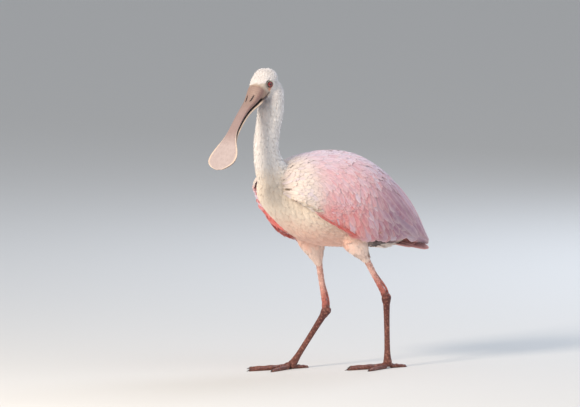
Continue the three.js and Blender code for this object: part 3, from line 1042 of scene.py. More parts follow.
@dataclass
class Skin:
    """One skin over body, neck, head, thighs and the folded wings' flesh."""

    coat: float = 2.8
    neck_coat: float = 1.8
    crown_coat: float = 1.7
    thigh_coat: float = 2.0
    least: float = 2.0
    squareness: float = 0.86
    socket: float = 4.0
    brow: float = 0.9
    fold: float = 0.35
    voxel: float = 2.1
    smoothing: int = 9

    def forms(self) -> list[tuple[Array, Array]]:
        """The closed forms that the skin is drawn over.

        Returns:
            Points and triangles of each form.
        """
        angle = circle(48)
        y = np.linspace(TORSO.t[0] + self.coat, TORSO.t[-1] - self.coat, 50)
        top, bottom, half = TORSO(y).T
        sizes = (half, (top - bottom) / 2)
        wide, deep = (np.maximum(size - self.coat, self.least)[:, None] for size in sizes)
        torso = np.stack(np.broadcast_arrays(
            wide * np.sin(angle), y[:, None], ((top + bottom) / 2)[:, None] + deep * np.cos(angle)), -1)
        neck = NECK(np.linspace(0, 1, 40))
        neck[:, 3:] = np.maximum(neck[:, 3:] - self.neck_coat, 3)
        ahead = np.linspace(SKULL.t[0], SKULL.t[-1], 30)
        width, crown, throat = SKULL(ahead).T
        crown = crown - self.crown_coat * smooth(-34, -52, ahead)
        width = width + 3.2 * smooth(-50, -64, ahead)
        waves = (np.sin(angle), np.cos(angle))
        sine, cosine = (np.sign(wave) * np.abs(wave) ** self.squareness for wave in waves)
        level, deep = (crown + throat) / 2, (crown - throat) / 2 - 0.7
        skull = from_head(
            (width[:, None] - 0.7) * sine, ahead[:, None], level[:, None] + deep[:, None] * cosine)
        forms = [torso, limb_rings(neck, 36), skull]
        for side in Side:
            thigh = thigh_rows(side, 16)
            thigh[:, 3:] -= self.thigh_coat
            forms += [limb_rings(thigh, 24), self.wing_flesh(side)]
        return [tube(rings) for rings in forms]

    def wing_flesh(self, side: Side) -> Array:
        """The folded wing's flesh, under its feathers.

        Args:
            side: Which wing.

        Returns:
            Rings along the wing.
        """
        y = np.linspace(FLESH_FROM + 1, FLESH_TO, 40)[:, None]
        at, up = wing_at(side, y, np.linspace(*FLESH_SHARE, 22)[None])
        inner = 16 - 4 * smooth(-104, -60, y) - 6.5 * smooth(60, 150, y)
        outer = at - up * (1.8 + 2.2 * smooth(-84, -44, y))[..., None]
        return np.concatenate([outer, (outer - up * inner[..., None])[:, ::-1]], 1)

    def build(self) -> Object:
        """Draw the skin over the forms and shape the head.

        Returns:
            The skin, still without its finish.
        """
        verts, faces, start = [], [], 0
        for points, triangles in self.forms():
            verts.append(points)
            faces.append(triangles + start)
            start += len(points)
        rough = mesh_object("skin_forms", np.concatenate(verts), np.concatenate(faces))
        remesh = rough.modifiers.new("Draw", "REMESH")
        remesh.mode, remesh.voxel_size = "VOXEL", self.voxel * MM
        relax = rough.modifiers.new("Relax", "SMOOTH")
        relax.factor, relax.iterations = 0.5, self.smoothing
        mesh = bpy.data.meshes.new_from_object(rough.evaluated_get(bpy.context.evaluated_depsgraph_get()))
        bpy.data.objects.remove(rough)
        mesh.name = "skin"
        skin = add_object("skin", mesh)
        self.shape_head(skin)
        return skin

    def shape_head(self, skin: Object) -> None:
        """Sink the eyes' sockets, raise the brows and fold the bare face.

        Args:
            skin: The skin.
        """
        points = points_of(skin)
        head = to_head(points)
        left, ahead, up = head[:, 0], head[:, 1], head[:, 2]
        near = np.linalg.norm(points - from_head(0, -38, -14), axis=-1) < 45
        cheek = smooth(FACE_FROM, FACE_TO, np.abs(left))
        sink = self.socket * smooth(8.0, 3.6, lid_reach(ahead, up)) * cheek
        brow = self.brow * np.exp(-(((ahead + 39) / 7) ** 2 + ((up + 2.2) / 2.2) ** 2)) * cheek
        folds = self.fold * np.sin(up * 1.9 + 0.6 * np.sin(ahead * 0.5)) * face_shares(points)[0]
        moved = np.where(near, np.sign(left) * (brow + folds - sink), 0.0)
        points = points + (moved[:, None] * (HEAD_AXES @ np.array([-1.0, 0, 0])))
        skin.data.vertices.foreach_set("co", to_world(points).astype(np.float32).ravel())

    def dress(self, skin: Object, material: Material) -> None:
        """Colour and finish the skin.

        Args:
            skin: The skin.
            material: Its finish.
        """
        skin.data.materials.clear()
        skin.data.materials.append(material)
        skin.data.polygons.foreach_set("use_smooth", np.ones(len(skin.data.polygons), bool))
        paint(skin, skin_tint(points_of(skin)))
        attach(skin, "root")
        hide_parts("torso", "neck", "head", "thigh_left", "thigh_right")


class Surface:
    """The skin's triangles, to root feathers on and to follow."""

    def __init__(self, skin: Object) -> None:
        """Read the skin's mesh.

        Args:
            skin: The skin.
        """
        mesh = skin.data
        mesh.calc_loop_triangles()
        flat = np.empty(len(mesh.loop_triangles) * 3, np.int32)
        mesh.loop_triangles.foreach_get("vertices", flat)
        self.corners = flat.reshape(-1, 3)
        self.points = points_of(skin)
        self.tree = BVHTree.FromPolygons(self.points.tolist(), self.corners.tolist())
        a, b, c = (self.points[self.corners[:, k]] for k in range(3))
        cross = np.cross(b - a, c - a)
        self.areas = np.linalg.norm(cross, axis=1) / 2
        self.middles = (a + b + c) / 3

    def nearest(self, points: Array) -> tuple[Array, Array]:
        """Closest places on the skin.

        Args:
            points: Places near it [count, 3].

        Returns:
            Points on the skin and its normals there.
        """
        found = [self.tree.find_nearest(p) for p in points.tolist()]
        return np.array([tuple(f[0]) for f in found]), np.array([tuple(f[1]) for f in found])

    def scatter(self, wanted: Array, gap: float, rng: np.random.Generator) -> Array:
        """Spread roots evenly over part of the skin.

        Args:
            wanted: Tells for each triangle whether roots may lie on it.
            gap: Least distance between roots in millimetres.
            rng: The seeded source of chance.

        Returns:
            Root points [count, 3].
        """
        weights = self.areas * wanted
        total = weights.sum()
        if total <= 0:
            return np.zeros((0, 3))
        count = int(total / gap**2 * 3.2)
        pick = rng.choice(len(weights), count, p=weights / total)
        r1, r2 = np.sqrt(rng.random(count)), rng.random(count)
        a, b, c = (self.points[self.corners[pick, k]] for k in range(3))
        spots = a * (1 - r1)[:, None] + b * (r1 * (1 - r2))[:, None] + c * (r1 * r2)[:, None]
        cells: dict[tuple[int, int, int], list[Array]] = {}
        chosen = []
        keys = np.floor(spots / gap).astype(int)
        for spot, key in zip(spots, keys):
            kx, ky, kz = key.tolist()
            clash = any(
                ((spot - other) ** 2).sum() < gap * gap
                for dx in (-1, 0, 1) for dy in (-1, 0, 1) for dz in (-1, 0, 1)
                for other in cells.get((kx + dx, ky + dy, kz + dz), ())
            )
            if not clash:
                cells.setdefault((kx, ky, kz), []).append(spot)
                chosen.append(spot)
        return np.array(chosen)


# Feathers


FULL_WIDTH = 0.65


def feather_grids(
    middle: Array, up: Array, half: Array, height: Array, columns: int, rng: np.random.Generator,
    camber: float = 0.25, tip: float = 0.25, jag: float = 0.0, tilt: Array | float = 0.0, base: float = 0.35,
) -> tuple[Array, Array]:
    """Vanes along centre lines.

    Args:
        middle: Centre lines [count, stations, 3].
        up: Normals of the same shape.
        half: Half width of each vane [count].
        height: Height over the surface [count, stations].
        columns: Points across each vane.
        rng: The seeded source of chance.
        camber: How far the edges droop, as a share of the half width.
        tip: Width at the very tip, as a share.
        jag: How ragged the tip is, in millimetres.
        tilt: Lean to one side [count] or one value.
        base: Width at the root, as a share.

    Returns:
        Grids [count, stations, columns, 3] and their Vane map.
    """
    count, stations = middle.shape[:2]
    s = np.linspace(0, 1, stations)
    across = np.linspace(-1, 1, columns)
    along = unit(np.gradient(middle, axis=1))
    side = unit(np.cross(along, up))
    round_tip = np.sqrt(np.clip(1 - ((s - FULL_WIDTH) / 0.35) ** 2, 0, 1))
    shape = np.where(s < FULL_WIDTH, base + (1 - base) * smooth(0, 0.5, s), tip + (1 - tip) * round_tip)
    reach = half[:, None, None] * shape[None, :, None] * across
    drop = camber * np.abs(reach) * np.abs(across)
    lean = np.broadcast_to(np.asarray(tilt, float), (count,))[:, None, None] * reach
    rough = rng.uniform(-1, 1, (count, 1, columns)) * jag * (s[None, :, None] ** 3)
    grid = (
        middle[:, :, None] + side[:, :, None] * reach[..., None]
        + up[:, :, None] * (height[:, :, None] - drop + lean)[..., None]
        + along[:, :, None] * rough[..., None]
    )
    offset = rng.integers(0, 40, (count, 2, 1, 1))
    vane = np.stack(np.broadcast_arrays(
        (across * 0.49 + 0.5)[None, None] + offset[:, 0],
        (s * 0.98 + 0.01)[None, :, None] + offset[:, 1]), -1)
    return grid, vane


class Measure(Enum):
    """What the size of a coat's feathers follows."""

    ALONG = 1
    HEIGHT = 2
    ON_HEAD = 3

    def of(self, points: Array) -> Array:
        """The measure at points, in millimetres."""
        return to_head(points)[:, 1] if self is Measure.ON_HEAD else points[:, self.value]


FRONT_SMALL = (Measure.ALONG, -112, -70, 0.72, 0.28)
NAPE_SLIM = (Measure.HEIGHT, 405, 448, 1.0, -0.26)
FACE_SMALL = (Measure.ON_HEAD, -32, -62, 0.75, 0.25)
SHIN_SMALL = (Measure.HEIGHT, 168, 192, 0.72, 0.28)
EVEN = (Measure.HEIGHT, 0, 1, 1.0, 0.0)


@dataclass(frozen=True)
class Coat:
    """One kind of small feather, rooted on the skin.

    Its sizing gives a measure, where the size starts and stops changing, the size at first and the change.
    """

    name: str
    slot: str
    seed: int
    sizing: tuple[Measure, float, float, float, float]
    gap: float
    length: tuple[float, float]
    half: tuple[float, float]
    lift: tuple[float, float]
    stations: int = 4
    columns: int = 3
    jag: float = 1.0
    spread: float = 12.0
    fluff: float = 0.0
    shade: float = 0.10
    sunk: float = 0.6

    def grow(
        self, surface: Surface, wanted: Array, unwrap: Callable[[Array], Array],
        tint: Callable[[Array], Array], material: Material,
    ) -> Object:
        """Grow the coat.

        Args:
            surface: The skin.
            wanted: Tells for each triangle of the skin whether it grows there.
            unwrap: Place of points on the coat's unwrap.
            tint: Colour at points.
            material: Their finish.

        Returns:
            The coat as one object.
        """
        rng = np.random.default_rng(RNG_SEED + self.seed)
        roots, up = surface.nearest(surface.scatter(wanted, self.gap, rng))
        measure, low, high, first, change = self.sizing
        scale = first + change * smooth(low, high, measure.of(roots))
        count = len(roots)
        length = rng.uniform(*self.length, count) * scale
        half = rng.uniform(*self.half, count) * scale
        lift = rng.uniform(*self.lift, count) * scale
        way = body_lie(roots, up)
        sway = np.radians(rng.normal(0, self.spread, count))[:, None]
        way = unit(way * np.cos(sway) + np.cross(up, way) * np.sin(sway))
        middle, normals = [roots], [up]
        for _ in range(self.stations - 1):
            step = middle[-1] + way * (length / (self.stations - 1))[:, None]
            spot, normal = surface.nearest(step)
            normal = unit(normal * 0.6 + normals[-1] * 0.4)
            way = unit(way - normal * (way * normal).sum(-1, keepdims=True))
            middle.append(spot)
            normals.append(normal)
        s = np.linspace(0, 1, self.stations)
        height = -self.sunk + (lift[:, None] + self.sunk) * s[None] ** 0.75
        height = height + self.fluff * rng.random((count, 1)) * s[None] ** 2
        grid, vane = feather_grids(
            np.stack(middle, 1), np.stack(normals, 1), half, height, self.columns, rng,
            camber=0.30, jag=self.jag, base=0.5, tip=0.35)
        colour = tint(roots)[:, None, None] * (1 + rng.normal(0, 0.035, (count, 1, 1, 1)))
        # painted shade: each feather darker towards its root, under the feathers that lie over it
        root_shade = (1 - self.shade * (1 - s) ** 1.5)[None, :, None, None]
        sheets = Sheets()
        sheets.add(grid, colour * root_shade * np.ones(grid.shape), vane, unwrap(roots))
        made = sheets.make(self.name, material)
        LOG.info("%s: %d feathers", self.name, count)
        return made


def body_lie(points: Array, up: Array) -> Array:
    """Direction of the feathers on body, neck, thighs and head.

    Args:
        points: Roots in millimetres.
        up: The skin's normals there.

    Returns:
        Directions along the skin.
    """
    x, y, z = points.T
    way = blend(np.array([0.0, 0.30, -1.0]), np.array([0.0, 1.0, -0.42]), smooth(-118, -35, y))
    way = blend(way, np.array([0.0, 1.0, 0.02]), smooth(222, 204, z) * smooth(-60, -10, y))
    way[:, 0] += 0.16 * np.sign(x) * smooth(-40, -110, y)
    way = blend(way, np.array([0.0, -0.06, -1.0]), smooth(318, 350, z) * smooth(-70, -92, y))
    back = unit(points - from_head(0, -12, -8))
    back[:, 2] -= 0.35 + 2.4 * smooth(-44, -64, to_head(points)[:, 1])
    way = blend(way, back, smooth(446, 462, z + 0.25 * (y + 120)))
    for side, leg in LEGS.items():
        rows = thigh_rows(side, 2)
        down = unit(rows[1, :3] - rows[0, :3])
        near = smooth(215, 200, z) * smooth(30, 20, np.hypot(x - leg.x, (y - rows[:, 1].mean()) * 0.6))
        way = blend(way, down, near)
    way = way - up * (way * up).sum(-1, keepdims=True)
    return unit(way)


def round_body(points: Array) -> Array:
    """Unwrap the body round its own length."""
    angle = np.arctan2(points[:, 0], points[:, 2] - 268) / (2 * math.pi) + 0.5
    return np.stack([angle, (points[:, 1] + 140) / 300], -1)


def round_neck(points: Array) -> Array:
    """Unwrap the neck and head round their height."""
    angle = np.arctan2(points[:, 0] - 3, points[:, 1] + 118) / (2 * math.pi) + 0.5
    return np.stack([angle, (points[:, 2] - 150) / 360], -1)


@dataclass
class Contour:
    """The small feathers of body, neck, head and thighs."""

    body: Coat = Coat(
        "coat_body", "breast_plumage", 1, FRONT_SMALL,
        4.6, (20, 28), (5.4, 7.4), (1.7, 2.5), 5, 5, jag=1.2, spread=7, fluff=0.35, shade=0.06)
    neck: Coat = Coat(
        "coat_neck", "white_plumage", 2, NAPE_SLIM,
        2.15, (8, 13), (2.0, 3.0), (1.0, 1.6), 4, 3, jag=1.2, spread=10, fluff=0.55, shade=0.04)
    head: Coat = Coat(
        "coat_head", "white_plumage", 3, FACE_SMALL,
        1.55, (3.6, 5.8), (0.9, 1.4), (0.5, 0.9), 3, 3, jag=0.8, spread=16, fluff=0.7, shade=0.08)
    thigh: Coat = Coat(
        "coat_thighs", "breast_plumage", 4, SHIN_SMALL,
        2.6, (9, 13), (2.2, 3.2), (1.1, 1.8), 4, 3, jag=1.2, spread=10, fluff=0.4, shade=0.06)
    undertail: Coat = Coat(
        "coat_undertail", "breast_plumage", 6, EVEN,
        4.2, (24, 34), (3.4, 5.0), (2.0, 4.5), 6, 3, jag=3.0, spread=14, fluff=3.0, shade=0.35)
    small_wing: Coat = Coat(
        "coat_wing_front", "pink_plumage", 5, FRONT_SMALL,
        4.6, (14, 19), (4.6, 6.2), (1.7, 2.4), 4, 5, jag=0.8, spread=6, fluff=0.2, shade=0.10)
    wing_reach: float = 6.5
    thigh_reach: float = 1.5
    thigh_top: float = 203.0
    head_middle: tuple[float, float, float] = (0, -44, -14)
    head_reach: float = 34.0
    head_floor: float = 436.0
    face_end: float = -15.0
    neck_floor: float = 322.0
    neck_back: float = -84.0
    vent: tuple[float, float, float] = (66, 124, 196.5)

    def near_thigh(self, points: Array) -> Array:
        """Tells which points lie on a thigh.

        Args:
            points: Places on the skin.

        Returns:
            True or False for each.
        """
        found = np.zeros(len(points), bool)
        for side in Side:
            rows = thigh_rows(side, 12)
            gap = np.linalg.norm(points[:, None] - rows[None, :, :3], axis=-1) - rows[None, :, 3]
            found |= (gap.min(1) < self.thigh_reach) & (points[:, 2] < self.thigh_top)
        return found

    def on_wing(self, points: Array) -> Array:
        """Tells how far points lie into a folded wing.

        Args:
            points: Places on the skin.

        Returns:
            The wing's v, or -1 off the wings.
        """
        found = np.full(len(points), -1.0)
        y = points[:, 1]
        v = np.linspace(*FLESH_SHARE, 45)
        for side in Side:
            at, _ = wing_at(side, np.clip(y, FLESH_FROM, FLESH_TO)[:, None], v[None])
            gap = np.linalg.norm(at - points[:, None], axis=-1)
            close = (gap.min(1) < self.wing_reach) & (y > FLESH_FROM) & (y < FLESH_TO + 2)
            found = np.where(close, v[gap.argmin(1)], found)
        return found

    def build(self, surface: Surface, materials: dict[str, Material]) -> None:
        """Grow all the coats.

        Args:
            surface: The skin.
            materials: The finishes by name.
        """
        middles = surface.middles
        bare, _, under, eye = face_shares(middles)
        thigh = self.near_thigh(middles)
        wing = self.on_wing(middles)
        y, z = middles[:, 1], middles[:, 2]
        from_middle = np.linalg.norm(middles - from_head(*self.head_middle), axis=1)
        head = (from_middle < self.head_reach) & (z > self.head_floor)
        neck = (z > self.neck_floor) & (y < self.neck_back) & ~head
        covered = (wing > 0) & (y > -66) & ~((wing > 0.62) & (y < -52))
        free = ~neck & ~head & ~thigh & ~covered
        feathered = (bare < 0.5) & (eye < 0.5) & (under < 0.4) & (to_head(middles)[:, 1] < self.face_end)
        tail = (y > self.vent[0]) & (y < self.vent[1]) & (z < self.vent[2]) & ~thigh & ~covered
        jobs = (
            (self.body, (wing < 0) & free, round_body, plumage),
            (self.neck, neck, round_neck, plumage),
            (self.head, head & feathered, round_neck, self.head_tint),
            (self.thigh, thigh & ~head, round_neck, plumage),
            (self.undertail, tail, round_body, self.undertail_tint),
            (self.small_wing, (wing >= 0) & free, round_body, self.covert_tint),
        )
        for coat, wanted, unwrap, tint in jobs:
            made = coat.grow(surface, wanted, unwrap, tint, materials["plumage"])
            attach(made, "root")

    def head_tint(self, points: Array) -> Array:
        """Colour of the head's feathers, greyer by the throat and the gape: partly their own grey, partly
        painted shade under the jaw.
        """
        tone = INK.crown * (1 + 0.05 * ripple(points, 12, 21))[:, None]
        return blend(tone, INK.throat, throat_grey_and_shade(points))

    def undertail_tint(self, points: Array) -> Array:
        """Colour of the loose feathers under the tail, cream with grey tufts."""
        return INK.cream * (0.88 + 0.16 * ripple(points, 7, 31))[:, None]

    def covert_tint(self, points: Array) -> Array:
        """Colour of the wing's front edge, from lilac white down to carmine.

        Args:
            points: Roots in millimetres.

        Returns:
            Linear colours.
        """
        y, z = points[:, 1], points[:, 2]
        rows = WING(y)
        edge = np.where(points[:, 0] > 0, rows[:, 3], rows[:, 4])
        share = np.clip((rows[:, 1] - z) / np.maximum(rows[:, 1] - edge, 1), 0, 1)
        return wing_tone(y, share, points[:, 0] < 0)


def wing_tone(y: Array, v: Array, right: Array | bool) -> Array:
    """Colour of a folded wing, from cream and lilac in front to a mauve behind, darkened as painted shade.

    Args:
        y: Place along the body.
        v: 0 at the ridge to 1 at the lower edge.
        right: Whether it is the right wing, whose red front edge lies bare.

    Returns:
        Linear colours.
    """
    tone = blend(INK.pale, INK.rose, smooth(0.25, 0.72, v))
    tone = blend(tone, INK.deep, 0.55 * smooth(0.5, 0.9, v) * smooth(70, -30, y))
    # partly painted shade: the rear turns a dark mauve, and the lilac top darkens towards the rear
    tone = blend(tone, INK.shaded_mauve, smooth(0, 100, y) * (0.45 + 0.5 * smooth(0.1, 0.6, v)))
    tone = blend(tone, INK.mantle * (1 - 0.25 * smooth(40, 130, y))[..., None], 0.85 * smooth(0.34, 0.08, v))
    front = smooth(-38, -84, y)
    pale = np.where(right, smooth(0.55, 0.40, v), np.maximum(smooth(1.0, 0.62, v), front))
    tone = blend(tone, INK.cream, front * pale)
    tone = blend(tone, INK.deep, np.where(right, smooth(0.42, 0.6, v) * smooth(-20, -60, y), 0))
    # painted shade: a dusky maroon patch in the notch on the back's ridge
    notch_shade = smooth(-14, -8, y) * smooth(20, 14, y) * smooth(0.03, 0.01, v)
    tone = blend(tone, INK.maroon, 0.5 * notch_shade)
    streak = smooth(-78, -56, y) * smooth(18, 0, y) * smooth(0.90, 0.95, v)
    lower = np.where(right, smooth(-40, -70, y) * smooth(0.8, 0.95, v), 0)
    return blend(tone, INK.carmine, 0.85 * np.maximum(streak, lower))


@dataclass(frozen=True)
class Tier:
    """A row of long feathers on a folded wing."""

    name: str
    count: int
    quills: tuple[tuple[float, float], tuple[float, float]]
    tips: tuple[tuple[float, float], tuple[float, float]]
    half: float
    level: float
    stray: float = 1.0


@dataclass
class Wing:
    """The feathers of one folded wing: long ones in tiers, and rows of coverts over them."""

    side: Side
    layer: float = 0.72
    stations: int = 12
    columns: int = 7
    reach: float = 165.0
    stray: tuple[float, float] = (3.5, 0.03)
    margin_lift: float = 0.032
    root_sunk: float = 2.6
    tiers: tuple[Tier, ...] = (
        Tier("primaries", 5, ((78, 0.86), (104, 0.8)), ((156, 0.97), (184, 0.92)), 7.0, -1.5, 0.3),
        Tier("secondaries", 17, ((-44, 0.70), (96, 0.62)), ((-4, 1.02), (166, 1.01)), 9.0, 0, 0.5),
        Tier("greater", 34, ((-62, 0.50), (84, 0.42)), ((-38, 0.96), (152, 0.93)), 5.2, 0.8),
        Tier("long_median", 36, ((-66, 0.42), (76, 0.36)), ((-44, 0.85), (142, 0.82)), 5.0, 1.6),
        Tier("median", 36, ((-70, 0.34), (66, 0.28)), ((-50, 0.72), (128, 0.68)), 4.8, 2.4),
        Tier("lesser", 34, ((-76, 0.24), (58, 0.20)), ((-58, 0.57), (108, 0.53)), 4.6, 3.2),
        Tier("tertials", 8, ((44, 0.30), (74, 0.08)), ((150, 0.86), (184, 0.45)), 8.0, 3.4, 0.3),
        Tier("tertial_coverts", 16, ((20, 0.34), (70, 0.06)), ((118, 0.64), (168, 0.20)), 5.0, 4.0),
        Tier("ridge", 12, ((-50, 0.0), (106, 0.0)), ((20, 0.02), (181, 0.10)), 8.5, 4.0, 0.3),
        Tier("scapulars", 26, ((-66, 0.05), (76, 0.02)), ((-26, 0.17), (150, 0.09)), 5.4, 3.6),
        Tier("wing_tip", 9, ((112, 0.12), (104, 0.85)), ((180, 0.12), (183, 0.93)), 8.5, 0.6, 0.2),
        Tier("margin", 18, ((-76, 0.93), (-16, 0.955)), ((-56, 0.99), (6, 0.995)), 1.35, 4.6, 0.15),
    )

    def build(self, material: Material) -> Object:
        """Set all the tiers and coverts.

        Args:
            material: The feathers' finish.

        Returns:
            The wing's feathers as one object.
        """
        rng = np.random.default_rng(RNG_SEED + 50 + self.side.value)
        sheets = Sheets()
        for tier in self.tiers:
            share = np.linspace(0, 1, tier.count)
            share = np.clip(share + rng.normal(0, 0.12 / tier.count, tier.count), 0, 1)
            quill = np.array(tier.quills[0]) + np.outer(share, np.subtract(*tier.quills[::-1]))
            tip = np.array(tier.tips[0]) + np.outer(share, np.subtract(*tier.tips[::-1]))
            tip += rng.normal(0, tier.stray, tip.shape) * self.stray
            s = np.linspace(0, 1, self.stations)
            line = quill[:, None] + (tip - quill)[:, None] * s[None, :, None]
            line[..., 0] += rng.normal(0, 1.2, tier.count)[:, None] * np.sin(math.pi * s)
            y = line[..., 0]
            is_margin = tier.name == "margin"
            line[..., 1] = np.minimum(line[..., 1], 1.01 - 0.07 * smooth(4, -24, y) * (not is_margin))
            if is_margin and self.side is Side.RIGHT:
                line[..., 1] -= self.margin_lift
            half = tier.half * rng.uniform(0.8, 1.1, tier.count) * (1 - 0.45 * smooth(140, 184, tip[:, 0]))
            level = tier.level * (1 - 0.85 * smooth(120, 176, y)) * (0.35 + 0.65 * smooth(-60, 0, y))
            rise = (2.0 + self.layer * level) * smooth(0, 0.25, s)[None]
            height = -self.root_sunk + rise + rng.normal(0, 0.18, (tier.count, 1))
            self.lay(sheets, line, half, height, rng, 0.05)
        self.coverts(sheets, rng)
        made = sheets.make("feathers_wing_" + self.side.word, material)
        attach(made, "root")
        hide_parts("wing_" + self.side.word)
        return made

    def lay(
        self, sheets: Sheets, line: Array, half: Array, height: Array, rng: np.random.Generator, tilt: float,
    ) -> None:
        """Lay feathers on the wing's form.

        Args:
            sheets: Where they are gathered.
            line: Centre lines on the form [count, stations, 2].
            half: Half widths [count].
            height: Heights over the form [count, stations].
            rng: The seeded source of chance.
            tilt: How far the rear edge is lifted, as a share of the width.
        """
        at, up = wing_at(self.side, line[..., 0], line[..., 1])
        grid, vane = feather_grids(
            at, up, half, height, self.columns, rng, camber=0.12, tip=0.3, jag=0.7,
            tilt=-self.side.value * tilt, base=0.45)
        bake = np.stack([(line[:, 0, 0] + 120) / 320, line[:, 0, 1]], -1)
        sheets.add(grid, self.tint(line, rng), vane, bake)

    def coverts(self, sheets: Sheets, rng: np.random.Generator) -> None:
        """Lay rows of small coverts over the wing's front and its upper half.

        Args:
            sheets: Where they are gathered.
            rng: The seeded source of chance.
        """
        row_gap = 0.029
        y, v = np.meshgrid(np.arange(-116, 76, 5.6), np.arange(-0.03, 0.86, row_gap), indexing="ij")
        v = v + row_gap / 2 * (np.arange(len(y)) % 2)[:, None]
        y, v = (y + rng.normal(0, 1.3, y.shape)).ravel(), (v + rng.normal(0, 0.007, v.shape)).ravel()
        limit = 0.91 - 0.31 * smooth(-78, -30, y) - 0.42 * smooth(-30, 70, y) + rng.normal(0, 0.04, y.shape)
        keep = (v < limit) & (y > -117)
        y, v = y[keep], v[keep]
        grown = smooth(-114, -40, y)
        length = (12 + 14 * grown) * rng.uniform(0.8, 1.2, y.shape)
        steep = np.radians(10 + 54 * smooth(0.02, 0.42, v) * grown + rng.normal(0, 5, y.shape))
        s = np.linspace(0, 1, 6)
        along, down = length * np.cos(steep), length * np.sin(steep) / self.reach
        line = np.stack([y[:, None] + along[:, None] * s, v[:, None] + down[:, None] * s], -1)
        base = self.layer * (0.8 + 3.0 * smooth(0.62, 0.2, v)) * smooth(-106, -10, y)
        hug = 2.6 * smooth(0.42, 0.7, v) * smooth(-40, -80, y)
        rise = (2.1 + rng.normal(0, 0.15, y.shape))[:, None] * s**0.8
        height = -1.4 - hug[:, None] + base[:, None] * smooth(0, 0.4, s) + rise
        half = (3.2 + 1.2 * grown) * rng.uniform(0.85, 1.15, y.shape)
        self.lay(sheets, line, half, height, rng, 0.03)

    def tint(self, line: Array, rng: np.random.Generator) -> Array:
        """Colours of the feathers: the wing's own, with pale rims, a deeper middle and painted shade towards
        the roots.

        Args:
            line: Centre lines on the wing's form [count, stations, 2].
            rng: The seeded source of chance.

        Returns:
            Colours for each point.
        """
        count, stations = line.shape[:2]
        tone = wing_tone(line[..., 0], line[..., 1], self.side is Side.RIGHT)
        own = rng.normal(0, 0.16, (count, 1))
        tone = blend(tone, INK.deep, np.clip(own, 0, 1) * smooth(-70, -20, line[..., 0]))
        tone = blend(tone, INK.mantle, np.clip(-own, 0, 1) * 1.4)
        short = np.abs(line[:, -1:, 0] - line[:, :1, 0]) < 22
        slivers = short * (rng.random((count, 1)) < 0.02) * smooth(-20, 30, line[..., 0])
        tone = blend(tone, INK.carmine, slivers * 0.7)
        edge = np.abs(np.linspace(-1, 1, self.columns))[None, None, :, None]
        s = np.linspace(0, 1, stations)[None, :, None, None]
        rim = np.clip(0.55 * edge**3 + 0.45 * smooth(0.82, 1.0, s), 0, 0.7)
        pale = blend(tone, INK.cream, 0.5)[:, :, None]
        # painted shade: each feather darker towards its root, under the feathers that overlap it
        root = 1 - 0.14 * (1 - s) ** 1.2
        middle = 1 - 0.10 * (1 - edge) ** 4
        tone = tone[:, :, None] * (1 - rim) + pale * rim
        return tone * middle * root * (1 + rng.normal(0, 0.04, (count, 1, 1, 1)))


@dataclass
class Tail:
    """The short tail, folded to a fan, with its coverts above and below."""

    count: int = 12
    half: float = 7.5
    droop: float = 2.4
    spread: float = 19.0
    hang: float = 13.0
    stations: int = 9
    columns: int = 7

    def build(self, material: Material) -> Object:
        """Set the tail's feathers.

        Args:
            material: Their finish.

        Returns:
            The tail as one object.
        """
        rng = np.random.default_rng(RNG_SEED + 70)
        sheets = Sheets()
        s = np.linspace(0, 1, self.stations)
        # partly painted shade: the tail's own maroon, deepened towards the lower row's roots as the shade
        # under the wings
        dark = INK.maroon * 0.45
        rows = [
            (self.count, (11, 118, 211), (self.spread, 184, 190), self.half, 0.0, (dark, INK.maroon)),
            (9, (9, 112, 220), (15, 166, 199), 6.5, 2.2, (INK.maroon, INK.deep)),
        ]
        for count, start, end, half, rise, tones in rows:
            share = np.linspace(-1, 1, count)
            out = np.abs(share)
            root = np.stack([share * start[0], start[1] - 3 * out, start[2] - self.hang * out**2], -1)
            tip = np.stack([share * end[0], end[1] - 8 * out**2, end[2] - self.droop * out], -1)
            line = root[:, None] + (tip - root)[:, None] * s[None, :, None]
            line[..., 2] += 3 * np.sin(math.pi * s) + rise + 1.1 * (1 - out)[:, None]
            up = unit(np.stack([share * 0.8, np.full(count, 0.38), np.ones(count)], -1))
            up = np.broadcast_to(up[:, None], line.shape)
            grid, vane = feather_grids(
                line, up, np.full(count, half), np.zeros(line.shape[:2]), self.columns, rng,
                camber=0.15, jag=0.8, tilt=-0.1 * np.sign(share))
            tone = blend(tones[0], tones[1], smooth(0.1, 0.9, s)[None] * np.ones((count, 1)))
            edge = np.linspace(0, 1, self.columns)[None, None, :, None]
            edge = np.where(share[:, None, None, None] < 0, 1 - edge, edge) ** 4
            edge = np.maximum(edge, smooth(0.86, 1.0, s)[None, :, None, None] * 0.8)
            tone = tone[:, :, None] * (1 - edge) + blend(INK.deep, INK.cream, 0.35) * edge
            bake = np.stack([share * 0.3 + 0.5, np.full(count, 0.5 + 0.02 * rise + 0.001 * start[1])], -1)
            sheets.add(grid, tone * np.ones(grid.shape), vane, bake)
        made = sheets.make("feathers_tail", material)
        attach(made, "root")
        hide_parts("tail")
        return made


# Bill and eyes


BILL = Track([
    [-30, 14.5, 3.0, -20], [-22, 14, 4.0, -18.5], [0, 11.5, 1.0, -12], [20, 9.0, 3.6, -5.5],
    [40, 8.4, 5.2, -1], [60, 8.6, 5.6, 1.0], [75, 9.6, 5.2, 1.6], [90, 14, 4.2, 1.0],
    [100, 18.7, 3.2, 0.4], [110, 23.4, 2.0, -0.6], [120, 26.4, 0.8, -1.6], [130, 25.5, -0.4, -2.8],
    [137, 20, -1.4, -3.6], [142, 12, -2.2, -4.2], [145, 4, -3.2, -4.6],
])
CHIN = Track([[-24, 7], [0, 5.5], [30, 4], [60, 3], [90, 2.4], [120, 2.2], [145, 1.6]])
GAP, MOUTH_GAP, BILL_ROOT = 0.3, 1.6, -23.0
BILL_ENDS = {True: 145.0, False: 143.0}


def gape(ahead: Array) -> Array:
    """Room between the two halves of the bill."""
    share = (ahead - BILL_ROOT) / (BILL_ENDS[False] - BILL_ROOT)
    return GAP + MOUTH_GAP * np.maximum(0, np.sin(math.pi * share)) ** 0.8


